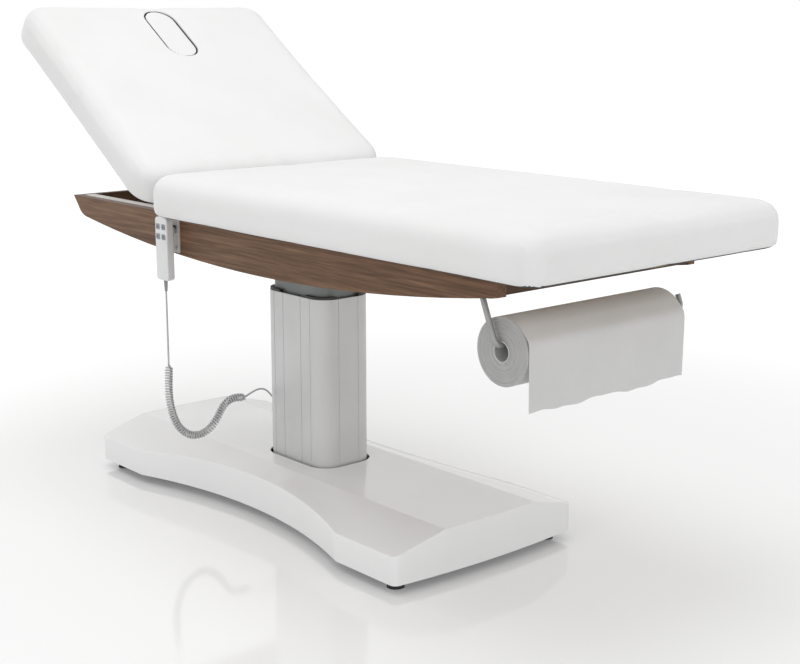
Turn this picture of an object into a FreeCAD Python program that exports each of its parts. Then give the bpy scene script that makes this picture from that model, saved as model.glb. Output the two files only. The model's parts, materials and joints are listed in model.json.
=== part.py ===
import FreeCAD, Part
import math
import os
import Sketcher
from FreeCAD import Placement, Rotation, Vector

# Spa treatment bed on a lifting column, in millimetres. +X points to the foot end, -Y to the near side
# where the handset hangs, +Z up. The origin is on the floor under the middle of the bed. Pieces are drawn
# from the axis of the column, and those of the backrest lie flat about its pivot. Placements move them.

SIZES = {
    # Place of the column along the bed, and clearances
    "column_x": -140, "running_gap": 0.3, "pin_gap": 0.05, "soft_gap": 0.4, "overrun": 4,
    # Feet of the base
    "foot_inset_x": 28, "foot_inset_y": 23, "foot_radius": 20, "foot_height": 12, "stud_radius": 6,
    "stud_rise": 14, "nut_radius": 10, "nut_height": 8,
    # Chassis plate inside the base
    "chassis_z": 26, "chassis_thickness": 10, "chassis_length": 1186, "chassis_width": 510,
    "chassis_waist": 340, "chassis_end": 165,
    # Moulded cover over the chassis
    "cover_z": 22, "cover_top": 123, "cover_edge_z": 87, "cover_length": 1218, "cover_width": 548,
    "cover_dip": 71, "cover_straight": 199, "cover_bulge": 16, "cover_wall": 4, "plateau_width": 278,
    "cover_corner": 14, "column_slot_gap": 7, "boss_radius": 11, "boss_inset": 123, "boss_inner_x": 215,
    "boss_y": 100, "cover_screw_radius": 3, "cover_screw_depth": 24,
    # Column: outer section, inner section and the glides between them
    "column_length": 240, "column_width": 162, "column_corner": 48, "column_wall": 4,
    "column_top": 540, "column_step": 12, "inner_bottom": 200, "inner_top": 690, "groove_width": 1.6,
    "groove_depth": 0.8, "groove_x": 35, "groove_y": 30, "glide_rise": 6, "glide_depth": 60,
    "glide_span": 70, "foot_plate_length": 330, "foot_plate_width": 240, "foot_plate_thickness": 12,
    "foot_bolt_inset": 20, "bolt_radius": 5, "bolt_head_radius": 9, "bolt_head": 6,
    "top_plate_length": 224, "top_plate_width": 200, "top_plate_thickness": 8, "top_bolt_inset": 11,
    # Lifting drive inside the column
    "lift_motor_radius": 42, "lift_motor_height": 72, "lift_tube_radius": 26, "lift_tube_top": 480,
    "lift_rod_radius": 15, "lift_rod_bottom": 240, "lift_bore_bottom": 92,
    # Electronics, inlet and gland
    "box_x": -330, "box_length": 160, "box_width": 120, "box_height": 62, "inlet_width": 48,
    "inlet_height": 28, "inlet_z": 60, "inlet_depth": 26, "inlet_rim": 3, "socket_width": 25,
    "socket_height": 15, "socket_depth": 17, "pin_thickness": 2, "gland_y": -8, "gland_z": 218,
    "gland_radius": 7, "gland_length": 8, "cord_width": 4.5,
    # Steel frame
    "rail_y": 238, "rail_width": 30, "rail_height": 40, "rail_top": 738, "rail_wall": 2.5,
    "rail_head": 660, "rail_foot": 905, "cross_width": 30, "cross_column_x": 50, "cross_middle_x": 280,
    "cross_seat_x": 600, "cross_foot_x": 890, "low_cross_x": -320, "low_cross_height": 26,
    # Walnut boards round the frame
    "board_thickness": 22, "skirt_head": 678, "skirt_foot": 924, "skirt_low_z": 632,
    "skirt_low_x": 128, "skirt_radius": 5100, "tip_run": 23, "tip_drop": 26, "tip_round": 55,
    "tip_end_run": 61, "head_board_thickness": 18, "screw_radius": 3,
    "screw_head_radius": 5, "screw_head": 2.5, "screw_depth": 15,
    # Tray panel between the rails
    "tray_thickness": 6, "tray_z": 698, "tray_head": 640, "tray_foot": 290,
    # Cushions and their boards
    "cushion_width": 750, "cushion_top": 840, "cushion_bottom": 739, "seat_start": 170,
    "seat_foot": 1091, "seat_corner": 58, "edge_top_round": 45, "edge_bottom_round": 30, "crown": 5,
    "board_inset": 30, "cushion_board": 15, "back_length": 727, "back_corner": 72,
    # Backrest pivot and tilt
    "pivot_x": -173.5, "pivot_z": 810, "back_angle": 33.9, "back_gap": 3.5, "hinge_pin_radius": 6,
    "hinge_boss_radius": 10, "hinge_plate": 5, "hinge_fixed_y": 240, "hinge_arm_y": 230,
    "hinge_pocket_in": 226, "hinge_pocket_out": 252, "hinge_pocket_run": 26, "hinge_pocket_rise": 11.5,
    "hinge_foot_head": 24, "hinge_foot_foot": 26, "hinge_head_radius": 8, "hinge_head": 3,
    "arm_foot": 110, "arm_upright_start": 30,
    # Steelwork under the backrest
    "rib_width": 26, "rib_length": 425, "rib_start": 30, "back_cross_first": 60,
    "back_cross_second": 400,
    # Backrest drive
    "crank_radius": 138, "crank_pin_radius": 6, "crank_boss_radius": 13, "crank_heel": 26,
    "crank_heel_drop": 10, "crank_knee": 39, "crank_plate": 6, "drive_y": 140, "yoke_thickness": 14,
    "yoke_side_gap": 1, "yoke_rim": 9, "yoke_play": 2.5, "drive_z": 672, "yoke_rise": 27,
    "drive_tube_radius": 17, "drive_tube_start": -60, "drive_tube_end": 170, "drive_rod_radius": 10,
    "drive_rod_length": 200, "drive_bore": 190, "motor_length": 90, "motor_width": 60,
    "motor_height": 48, "clamp_length": 24, "clamp_width": 50, "clamp_drop": 20,
    # Filler of the face hole
    "plug_inset": 155, "plug_length": 210, "plug_width": 94, "plug_ledge": 12,
    # Paper roll and its holder
    "roll_x": 880, "roll_z": 576, "roll_radius": 69, "roll_core_radius": 22, "core_bore": 19,
    "roll_length": 468, "core_overhang": 1, "holder_radius": 6, "holder_y": 250, "holder_far_y": 310,
    "holder_lean": 22.5, "holder_bend": 16, "holder_stub_z": 619, "holder_top_z": 692,
    "flange_head": 795, "flange_foot": 880, "flange_width": 28, "flange_thickness": 10,
    "holder_screw_head_x": 807, "holder_screw_foot_x": 866, "holder_screw_radius": 4,
    "holder_screw_head_radius": 7, "holder_screw_head": 7, "sheet_thickness": 1, "sheet_bottom": 465,
    "sheet_wave": 3, "sheet_inset": 3,
    # Handset, its bracket and buttons
    "handset_x": -185, "handset_front": 329, "handset_width": 52, "handset_depth": 20,
    "handset_bottom": 580, "handset_height": 153, "handset_corner": 9, "handset_wall": 2,
    "front_shell": 10, "circuit_thickness": 1.6, "circuit_y": 318, "button_width": 15,
    "button_height": 13, "button_corner": 3, "button_rise": 1.2, "button_depth": 7, "button_rim": 1.5,
    "button_rim_depth": 1.2, "button_column": 12, "button_top_z": 710, "button_low_z": 686,
    "button_gap": 0.25, "bracket_width": 46, "bracket_bottom": 645, "bracket_height": 80,
    "bracket_plate": 3, "lip_width": 30, "lip_z": 690, "lip_height": 18, "lip_reach": 13,
    "clip_width": 26, "clip_plate": 3, "clip_drop": 4.6, "clip_web": 24, "clip_finger_gap": 2.2,
    "bracket_screw_drop": 12, "relief_x": -186, "relief_y": -319, "relief_top_radius": 5,
    "relief_end_radius": 3.4, "relief_length": 28,
    # Curly cord
    "curl_radius": 7.4, "curl_pitch": 6.6, "curl_start": 10,
}

TOUCH = 1e-6
EDGE_STEPS = 4
CROWN_STEPS = 3
WAVES = 6
CORD_RADIUS_SHARE = 0.45
GAP_STEPS = 12

# Routes of the handset's cord, chosen by hand, from the handset to the column
LEAD_POINTS = [(-186, -319, 552), (-186, -319, 373)]
CURL_POINTS = [
    (-186, -319, 373), (-186, -319, 353), (-183, -324, 294), (-179, -319, 249), (-175, -306, 212),
    (-172, -284, 189), (-170, -260, 180), (-168, -235, 182), (-166, -213, 195), (-165, -196, 215),
    (-164, -183, 238), (-162, -165, 256), (-160, -138, 261), (-159, -119, 255), (-158, -108, 260),
]
TAIL_POINTS = [
    (-158, -108, 260), (-156.4, -90.4, 268), (-156, -67, 273), (-157, -46, 263), (-158, -33, 247),
    (-156, -19, 231), (-147, -8, 218), (-128, -8, 218),
]

doc = FreeCAD.newDocument("spa_bed")
sheet = doc.addObject("Spreadsheet::Sheet", "Sizes")
pieces = []


class Size:
    """A length, with its number and the sheet formula that it comes from."""

    def __init__(self, text, value):
        self.text = text
        self.value = float(value)

    def __float__(self):
        return self.value

    def __neg__(self):
        return Size("(-" + self.text + ")", -self.value)

    def __add__(self, other):
        other = as_size(other)
        return Size("(%s + %s)" % (self.text, other.text), self.value + other.value)

    def __radd__(self, other):
        return as_size(other) + self

    def __sub__(self, other):
        return self + (-as_size(other))

    def __rsub__(self, other):
        return as_size(other) - self

    def __mul__(self, other):
        other = as_size(other)
        return Size("(%s * %s)" % (self.text, other.text), self.value * other.value)

    def __rmul__(self, other):
        return as_size(other) * self

    def __truediv__(self, other):
        other = as_size(other)
        return Size("(%s / %s)" % (self.text, other.text), self.value / other.value)


def as_size(amount):
    return amount if isinstance(amount, Size) else Size("(%r)" % float(amount), amount)


def root(amount):
    return Size("sqrt(%s)" % amount.text, math.sqrt(amount.value))


def sine(degrees):
    return Size("sin(%s * 1 deg)" % degrees.text, math.sin(math.radians(degrees.value)))


def cosine(degrees):
    return Size("cos(%s * 1 deg)" % degrees.text, math.cos(math.radians(degrees.value)))


class Sheet:
    """The driving sizes, each under its own name."""

    def __init__(self, table):
        for row, (name, value) in enumerate(table.items(), start=1):
            sheet.set("A%d" % row, name)
            sheet.set("B%d" % row, str(value))
            sheet.setAlias("B%d" % row, name)
            setattr(self, name, Size("Sizes." + name, value))


size = Sheet(SIZES)
doc.recompute()


# Helpers that draw shapes whose sizes follow the sheet
def bind(thing, name, amount):
    thing.setExpression(name, as_size(amount).text)


def put(thing, x, y, z):
    for axis, amount in zip("xyz", (x, y, z)):
        bind(thing, "Placement.Base." + axis, amount)


def box(x, y, z):
    """A block between a low and a high plane on each axis."""
    solid = doc.addObject("Part::Box", "block")
    put(solid, x[0], y[0], z[0])
    for name, (low, high) in zip(("Length", "Width", "Height"), (x, y, z)):
        bind(solid, name, as_size(high) - low)
    return solid


def bar(axis, radius, ends, middle):
    """A round bar along one axis, with its middle's place on the two other axes."""
    solid = doc.addObject("Part::Cylinder", "bar")
    return lay(solid, axis, radius, ends, middle)


def lay(solid, axis, radius, ends, middle):
    turn = {"x": Rotation(Vector(0, 1, 0), 90), "y": Rotation(Vector(1, 0, 0), -90), "z": Rotation()}[axis]
    solid.Placement = Placement(Vector(), turn)
    spot = {"x": (ends[0],) + middle, "y": (middle[0], ends[0], middle[1]), "z": middle + (ends[0],)}[axis]
    put(solid, *spot)
    bind(solid, "Radius" if hasattr(solid, "Radius") else "Radius1", radius)
    bind(solid, "Height", as_size(ends[1]) - ends[0])
    return solid


def cone(axis, radius, end_radius, ends, middle):
    solid = doc.addObject("Part::Cone", "cone")
    lay(solid, axis, radius, ends, middle)
    bind(solid, "Radius2", end_radius)
    return solid


def hexagon(radius, ends, middle):
    solid = doc.addObject("Part::Prism", "hexagon")
    solid.Polygon = 6
    put(solid, middle[0], middle[1], ends[0])
    bind(solid, "Circumradius", radius)
    bind(solid, "Height", as_size(ends[1]) - ends[0])
    return solid


def cut(base, *tools):
    for tool in tools:
        result = doc.addObject("Part::Cut", "cut")
        result.Base = base
        result.Tool = tool
        base = result
    return base


def fuse(*solids):
    result = doc.addObject("Part::MultiFuse", "fuse")
    result.Shapes = list(solids)
    return result


def common(one, other):
    result = doc.addObject("Part::Common", "common")
    result.Base = one
    result.Tool = other
    return result


def place(thing, tilted=False):
    """Move a finished piece from the column's frame, or from the backrest's, to the bed's."""
    if tilted:
        thing.Placement = Placement(Vector(), Rotation(Vector(0, 1, 0), 1))
        bind(thing, "Placement.Base.x", size.column_x + size.pivot_x)
        bind(thing, "Placement.Base.z", size.pivot_z)
        bind(thing, "Placement.Rotation.Angle", size.back_angle)
    else:
        bind(thing, "Placement.Base.x", size.column_x)
    pieces.append(thing)
    return thing


def piece(label, *solids, tilted=False):
    """One named piece, or a named set of like pieces."""
    group = doc.addObject("Part::Compound", label)
    group.Links = list(solids)
    return place(group, tilted)


def shaped_piece(label, shape, tilted=False):
    """A piece whose curved shape is worked out here from the sheet's sizes."""
    feature = doc.addObject("Part::Feature", label)
    feature.Shape = shape
    return place(feature, tilted)


def flat(corner):
    return Vector(float(as_size(corner[0])), float(as_size(corner[1])), 0)


def arc_between(start, end, radius):
    """An arc of under a half circle, turning left where the radius is positive; says if it runs backwards."""
    chord = end - start
    left = Vector(-chord.y, chord.x, 0).normalize()
    reach = math.sqrt(max(radius * radius - chord.Length ** 2 / 4, 0))
    centre = (start + end) / 2 + left * math.copysign(reach, radius)
    ends = [start, end] if radius > 0 else [end, start]
    angles = [math.atan2(spot.y - centre.y, spot.x - centre.x) for spot in ends]
    circle = Part.Circle(centre, Vector(0, 0, 1), abs(radius))
    return Part.ArcOfCircle(circle, *angles)


def draw_loop(sketch, corners):
    """A closed outline, each corner and each arc's radius tied to the sheet. A third value in a corner is the
    radius of the arc that leaves it."""
    first = sketch.GeometryCount
    count = len(corners)
    heads = []
    for index, corner in enumerate(corners):
        start = flat(corner)
        end = flat(corners[(index + 1) % count])
        if len(corner) > 2:
            sketch.addGeometry(arc_between(start, end, float(corner[2])), False)
            heads.append(1 if float(corner[2]) > 0 else 2)
        else:
            sketch.addGeometry(Part.LineSegment(start, end), False)
            heads.append(1)
    for index, corner in enumerate(corners):
        edge = first + index
        after = (index + 1) % count
        sketch.addConstraint(
            Sketcher.Constraint("Coincident", edge, 3 - heads[index], first + after, heads[after]))
        for kind, axis_edge, amount in (("DistanceX", 0, corner[0]), ("DistanceY", 1, corner[1])):
            amount = as_size(amount)
            if abs(amount.value) < TOUCH:
                sketch.addConstraint(
                    Sketcher.Constraint("PointOnObject", edge, heads[index], -2 + axis_edge))
            else:
                at = sketch.addConstraint(
                    Sketcher.Constraint(kind, -1, 1, edge, heads[index], amount.value))
                sketch.setExpression("Constraints[%d]" % at, amount.text)
        if len(corner) > 2:
            radius = as_size(corner[2])
            radius = radius if radius.value > 0 else -radius
            at = sketch.addConstraint(Sketcher.Constraint("Radius", edge, radius.value))
            sketch.setExpression("Constraints[%d]" % at, radius.text)


def draw_circle(sketch, x, y, radius):
    edge = sketch.GeometryCount
    centre = flat((x, y))
    sketch.addGeometry(Part.Circle(centre, Vector(0, 0, 1), float(as_size(radius))), False)
    for kind, axis_edge, amount in (("DistanceX", 0, x), ("DistanceY", 1, y)):
        amount = as_size(amount)
        if abs(amount.value) < TOUCH:
            sketch.addConstraint(Sketcher.Constraint("PointOnObject", edge, 3, -2 + axis_edge))
        else:
            at = sketch.addConstraint(Sketcher.Constraint(kind, -1, 1, edge, 3, amount.value))
            sketch.setExpression("Constraints[%d]" % at, amount.text)
    at = sketch.addConstraint(Sketcher.Constraint("Radius", edge, float(as_size(radius))))
    sketch.setExpression("Constraints[%d]" % at, as_size(radius).text)


def plate(label, plane, low, high, loops, circles=()):
    """A body padded from one outline, with its holes, between two places on the plane's axis."""
    body = doc.addObject("PartDesign::Body", label)
    origin = [part for part in body.Origin.OriginFeatures if part.Role == plane + "_Plane"][0]
    sketch = body.newObject("Sketcher::SketchObject", "outline")
    sketch.AttachmentSupport = [(origin, "")]
    sketch.MapMode = "FlatFace"
    bind(sketch, "AttachmentOffset.Base.z", -as_size(high) if plane == "XZ" else low)
    for loop in loops:
        draw_loop(sketch, loop)
    for circle in circles:
        draw_circle(sketch, *circle)
    pad = body.newObject("PartDesign::Pad", "pad")
    pad.Profile = sketch
    bind(pad, "Length", as_size(high) - low)
    return body


def soften(body, radius, wanted):
    """Round the edges of a body that the test picks."""
    doc.recompute()
    tip = body.Tip
    names = ["Edge%d" % (at + 1) for at, edge in enumerate(tip.Shape.Edges) if wanted(edge)]
    fillet = body.newObject("PartDesign::Fillet", "round")
    fillet.Base = (tip, names)
    bind(fillet, "Radius", radius)
    return body


def upright(edge):
    """True for an edge that runs straight up."""
    return edge.BoundBox.XLength + edge.BoundBox.YLength < TOUCH


def rectangle(x, y):
    return [(x[0], y[0]), (x[1], y[0]), (x[1], y[1]), (x[0], y[1])]


def rounded(x, y, radius):
    """A rectangle with round corners, walked with its inside on the left."""
    return [
        (x[0] + radius, y[0]), (x[1] - radius, y[0], radius),
        (x[1], y[0] + radius), (x[1], y[1] - radius, radius),
        (x[1] - radius, y[1]), (x[0] + radius, y[1], radius),
        (x[0], y[1] - radius), (x[0], y[0] + radius, radius),
    ]


def centred(length):
    return (-length / 2, length / 2)


def around(middle, length):
    return (middle - length / 2, middle + length / 2)


def side_of(side, low, high):
    """A span across the bed, on the near side or mirrored to the far side."""
    return (low, high) if side > 0 else (-high, -low)


def stadium(middle, length, width):
    """A slot-shaped outline with round ends, long along X."""
    half = width / 2
    low = middle - length / 2 + half
    high = middle + length / 2 - half
    return [(low, -half), (high, -half, half), (high + half, as_size(0), half), (high, half),
            (low, half, half), (low - half, as_size(0), half)]


# Floor base
def base_pieces():
    chassis_top = size.chassis_z + size.chassis_thickness
    end = size.chassis_length / 2
    neck = end - size.chassis_end
    wide = size.chassis_width / 2
    slim = size.chassis_waist / 2
    foot_x = end - size.foot_inset_x
    foot_y = wide - size.foot_inset_y
    feet = [(x * foot_x, y * foot_y) for x in (-1, 1) for y in (-1, 1)]
    bosses = [(x * along, y * size.boss_y) for along in (end - size.boss_inset, size.boss_inner_x)
              for x in (-1, 1) for y in (-1, 1)]
    bolt_x = size.foot_plate_length / 2 - size.foot_bolt_inset
    bolt_y = size.foot_plate_width / 2 - size.foot_bolt_inset
    bolts = [(x * bolt_x, y * bolt_y) for x in (-1, 1) for y in (-1, 1)]
    outline = [(-end, -wide), (-neck, -wide), (-neck, -slim), (neck, -slim), (neck, -wide), (end, -wide),
               (end, wide), (neck, wide), (neck, slim), (-neck, slim), (-neck, wide), (-end, wide)]
    holes = [spot + (size.stud_radius,) for spot in feet]
    holes += [spot + (size.cover_screw_radius,) for spot in bosses]
    holes += [spot + (size.bolt_radius,) for spot in bolts]
    place(plate("base_chassis", "XY", size.chassis_z, chassis_top, [outline], holes))

    piece("foot_pads", *[cone("z", size.foot_radius, size.foot_radius - size.stud_radius / 2,
                              (as_size(0), size.foot_height), spot) for spot in feet])
    studs = []
    for spot in feet:
        stud = bar("z", size.stud_radius, (size.foot_height, chassis_top + size.stud_rise), spot)
        low_nut = hexagon(size.nut_radius, (size.chassis_z - size.nut_height, size.chassis_z), spot)
        high_nut = hexagon(size.nut_radius, (chassis_top, chassis_top + size.nut_height), spot)
        studs.append(fuse(stud, low_nut, high_nut))
    piece("foot_studs", *studs)

    cover_pieces(chassis_top, bosses)

    plate_top = chassis_top + size.foot_plate_thickness
    place(plate("column_foot_plate", "XY", chassis_top, plate_top,
                [rectangle(centred(size.foot_plate_length), centred(size.foot_plate_width))],
                [spot + (size.bolt_radius,) for spot in bolts]))
    fasteners = []
    for spot in bolts:
        shank = bar("z", size.bolt_radius, (size.chassis_z - size.bolt_head, plate_top), spot)
        head = hexagon(size.bolt_head_radius, (plate_top, plate_top + size.bolt_head), spot)
        nut = hexagon(size.bolt_head_radius, (size.chassis_z - size.bolt_head, size.chassis_z), spot)
        fasteners.append(fuse(shank, head, nut))
    piece("column_foot_bolts", *fasteners)
    piece("control_box", box(around(size.box_x, size.box_length), centred(size.box_width),
                             (chassis_top, chassis_top + size.box_height)))
    return plate_top


def cover_outline(wall):
    """Plan of the cover: straight at the ends, drawn in along the sides, bowed out at head and foot."""
    end = size.cover_length / 2 - wall
    wide = size.cover_width / 2 - wall
    start = size.cover_length / 2 - size.cover_straight
    dip = size.cover_dip
    side_radius = (start * start + dip * dip) / (2 * dip)
    bulge = size.cover_bulge
    end_radius = (wide * wide + bulge * bulge) / (2 * bulge)
    return [(-end, -wide), (-start, -wide, -side_radius), (start, -wide), (end, -wide, end_radius),
            (end, wide), (start, wide, -side_radius), (-start, wide), (-end, wide, end_radius)]


def cover_section(wall, bottom):
    """Cross-section of the cover: flat in the middle, sloping down to both sides."""
    wide = size.cover_width / 2 - wall
    flat_half = size.plateau_width / 2
    top = size.cover_top - wall
    edge = size.cover_edge_z - wall
    return [(-wide, bottom), (wide, bottom), (wide, edge), (flat_half, top), (-flat_half, top), (-wide, edge)]


def cover_pieces(chassis_top, bosses):
    reach = size.cover_length / 2 + size.cover_bulge + size.overrun
    shells = []
    for wall, bottom in ((as_size(0), size.cover_z), (size.cover_wall, size.cover_z - size.overrun)):
        plan = plate("cover_plan", "XY", bottom, size.cover_top + size.overrun, [cover_outline(wall)])
        if not shells:
            soften(plan, size.cover_corner, lambda edge: upright(edge) and abs(edge.BoundBox.XMax) >
                   float(size.cover_length / 2 - size.cover_wall))
        section = plate("cover_section", "YZ", -reach, reach, [cover_section(wall, bottom)])
        shells.append(common(plan, section))
    inside_top = size.cover_top - size.cover_wall
    posts = [bar("z", size.boss_radius, (chassis_top, inside_top), spot) for spot in bosses]
    gap = size.column_slot_gap
    slot = plate("column_slot", "XY", size.cover_top - size.cover_wall - size.overrun,
                 size.cover_top + size.overrun,
                 [rounded(centred(size.column_length + 2 * gap), centred(size.column_width + 2 * gap),
                          size.column_corner + gap)])
    screw_top = chassis_top + size.cover_screw_depth
    holes = [bar("z", size.cover_screw_radius, (chassis_top - size.overrun, screw_top), spot)
             for spot in bosses]
    head_x = -size.cover_length / 2 - size.cover_bulge
    inlet_hole = box((head_x - size.overrun, head_x + size.inlet_depth),
                     centred(size.inlet_width - 2 * size.inlet_rim),
                     around(size.inlet_z, size.inlet_height - 2 * size.inlet_rim))
    shell = cut(shells[0], shells[1], slot, inlet_hole)
    piece("base_cover", cut(fuse(shell, *posts), *holes))

    screws = []
    for spot in bosses:
        shank = bar("z", size.cover_screw_radius, (size.chassis_z, screw_top), spot)
        head = bar("z", size.screw_head_radius, (size.chassis_z - size.screw_head, size.chassis_z), spot)
        screws.append(fuse(shank, head))
    piece("cover_screws", *screws)

    # Appliance inlet in the head end
    rim = plate("inlet_rim_plate", "YZ", head_x - size.inlet_rim, head_x,
                [rounded(centred(size.inlet_width), around(size.inlet_z, size.inlet_height), size.inlet_rim)])
    body = box((head_x - size.pin_thickness, head_x + size.inlet_depth),
               centred(size.inlet_width - 2 * size.inlet_rim - size.running_gap),
               around(size.inlet_z, size.inlet_height - 2 * size.inlet_rim - size.running_gap))
    socket_x = (head_x - size.inlet_rim - size.overrun, head_x - size.inlet_rim + size.socket_depth)
    socket = box(socket_x, centred(size.socket_width), around(size.inlet_z, size.socket_height))
    pin_x = (head_x + size.pin_thickness, socket_x[1])
    spread = size.socket_width / 4
    pins = [box(pin_x, around(step * spread, size.pin_thickness),
                around(size.inlet_z + rise * size.socket_height / 8, 2 * size.pin_thickness))
            for step, rise in ((-1, -1), (0, 1), (1, -1))]
    piece("mains_inlet", fuse(cut(fuse(rim, body), socket), *pins))


# Column
def column_outline(inset):
    return rounded(centred(size.column_length - 2 * inset), centred(size.column_width - 2 * inset),
                   size.column_corner - inset)


def column_pieces(plate_top):
    zero = as_size(0)
    outer = plate("outer_section", "XY", plate_top, size.column_top,
                  [column_outline(zero), column_outline(size.column_wall)])
    grooves = []
    half_x = size.column_length / 2
    half_y = size.column_width / 2
    depth = size.groove_depth
    up = (plate_top - size.overrun, size.column_top + size.overrun)
    for side in (-1, 1):
        for x in (size.groove_x, half_x - size.column_corner):
            for turn in (-1, 1):
                grooves.append(box(around(turn * x, size.groove_width),
                                   side_of(side, half_y - depth, half_y + size.overrun), up))
        for turn in (-1, 1):
            grooves.append(box(side_of(side, half_x - depth, half_x + size.overrun),
                               around(turn * size.groove_y, size.groove_width), up))
    gland_hole = bar("x", size.gland_radius,
                     (-half_x - size.overrun, -half_x + size.column_wall + size.overrun),
                     (size.gland_y, size.gland_z))
    piece("column_outer", cut(outer, fuse(*grooves), gland_hole))

    gland = bar("x", size.gland_radius, (-half_x - size.gland_length, -half_x + size.column_wall),
                (size.gland_y, size.gland_z))
    gland_bore = bar("x", size.cord_width / 2, (-half_x, -half_x + size.column_wall + size.overrun),
                     (size.gland_y, size.gland_z))
    piece("cord_gland", cut(gland, gland_bore))

    inner = plate("inner_section", "XY", size.inner_bottom, size.inner_top,
                  [column_outline(size.column_step), column_outline(size.column_step + size.column_wall)])
    piece("column_inner", inner)

    # Corner glides: a rim over the outer section and a liner down the gap
    gap = size.running_gap
    rim = plate("glide_rim", "XY", size.column_top, size.column_top + size.glide_rise,
                [column_outline(size.groove_depth), column_outline(size.column_step - gap)])
    liner = plate("glide_liner", "XY", size.column_top - size.glide_depth, size.column_top,
                  [column_outline(size.column_wall), column_outline(size.column_step - gap)])
    reach_z = (size.column_top - size.glide_depth, size.column_top + size.glide_rise)
    corners = []
    for x in (-1, 1):
        for y in (-1, 1):
            corner = box(side_of(x, half_x - size.glide_span, half_x), side_of(y, half_y - size.column_corner,
                         half_y), reach_z)
            corners.append(common(fuse(rim, liner), corner))
    piece("column_glides", *corners)

    # Plate on the column and the bolts that hold the cross tubes to it
    top = size.inner_top + size.top_plate_thickness
    bolt_y = size.top_plate_width / 2 - size.top_bolt_inset
    spots = [(x * size.cross_column_x, y * bolt_y) for x in (-1, 1) for y in (-1, 1)]
    place(plate("column_top_plate", "XY", size.inner_top, top,
                [rectangle(centred(size.top_plate_length), centred(size.top_plate_width))],
                [spot + (size.bolt_radius,) for spot in spots]))
    bolts = []
    for spot in spots:
        shank = bar("z", size.bolt_radius, (size.inner_top, top + size.rail_wall), spot)
        head = hexagon(size.bolt_head_radius, (size.inner_top - size.bolt_head, size.inner_top), spot)
        bolts.append(fuse(shank, head))
    piece("column_top_bolts", *bolts)

    # Lifting drive
    motor_top = plate_top + size.lift_motor_height
    motor = bar("z", size.lift_motor_radius, (plate_top, motor_top), (zero, zero))
    tube = bar("z", size.lift_tube_radius, (motor_top, size.lift_tube_top), (zero, zero))
    bore = bar("z", size.lift_rod_radius + size.running_gap,
               (size.lift_bore_bottom, size.lift_tube_top + size.overrun), (zero, zero))
    piece("lift_actuator_body", cut(fuse(motor, tube), bore))
    piece("lift_actuator_rod", bar("z", size.lift_rod_radius, (size.lift_rod_bottom, size.inner_top),
                                   (zero, zero)))


# Steel frame
def tube_along(x, y, z, open_axis):
    """A rectangular steel tube, open at the ends of one axis."""
    wall = size.rail_wall
    inner = []
    for axis, span in zip("xyz", (x, y, z)):
        if axis == open_axis:
            inner.append((span[0] - size.overrun, span[1] + size.overrun))
        else:
            inner.append((span[0] + wall, span[1] - wall))
    return cut(box(x, y, z), box(*inner))


def frame_pieces():
    low = size.rail_top - size.rail_height
    lean = size.tip_run / size.tip_drop
    head = -size.rail_head
    reach = head - 2 * size.overrun
    under = low - size.overrun
    over = size.rail_top + size.overrun
    for label, side in (("frame_rail_near", -1), ("frame_rail_far", 1)):
        rail_y = side_of(side, size.rail_y, size.rail_y + size.rail_width)
        rail = tube_along((head, size.rail_foot), rail_y, (low, size.rail_top), "x")
        mitre = plate("rail_mitre", "XZ", rail_y[0] - size.overrun, rail_y[1] + size.overrun,
                      [[(reach, under), (head + (size.rail_top - under) * lean, under),
                        (head - size.overrun * lean, over), (reach, over)]])
        piece(label, cut(rail, mitre))
    across = (-size.rail_y, size.rail_y)
    tubes = []
    places = (-size.cross_column_x, size.cross_column_x, size.cross_middle_x, size.cross_seat_x,
              size.cross_foot_x)
    bolt_y = size.top_plate_width / 2 - size.top_bolt_inset
    for x in places:
        tube = tube_along(around(x, size.cross_width), across, (low, size.rail_top), "y")
        if abs(float(x)) <= float(size.cross_column_x):
            holes = [bar("z", size.bolt_radius, (low - size.overrun, low + size.rail_wall), (x, y))
                     for y in (-bolt_y, bolt_y)]
            tube = cut(tube, *holes)
        tubes.append(tube)
    wide = (-size.rail_y - size.rail_width, size.rail_y + size.rail_width)
    tubes.append(tube_along(around(size.low_cross_x, size.cross_width), wide,
                            (low - size.low_cross_height, low), "y"))
    piece("frame_cross_tubes", *tubes)
    place(plate("tray_panel", "XY", size.tray_z, size.tray_z + size.tray_thickness,
                [rectangle((-size.tray_head, -size.tray_foot), across)]))


# Walnut boards
def skirt_outline():
    """Side board: straight on top, a long shallow arc below, its head end swept up to a tip."""
    top = size.rail_top
    tip = -size.skirt_head
    foot = size.skirt_foot
    centre_z = size.skirt_low_z + size.skirt_radius
    start = tip + size.tip_end_run

    def arc_z(x):
        run = x - size.skirt_low_x
        return centre_z - root(size.skirt_radius * size.skirt_radius - run * run)

    return [(tip, top), (tip + size.tip_run, top - size.tip_drop, size.tip_round), (start, arc_z(start),
            size.skirt_radius), (foot, arc_z(foot)), (foot, top)]


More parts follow.
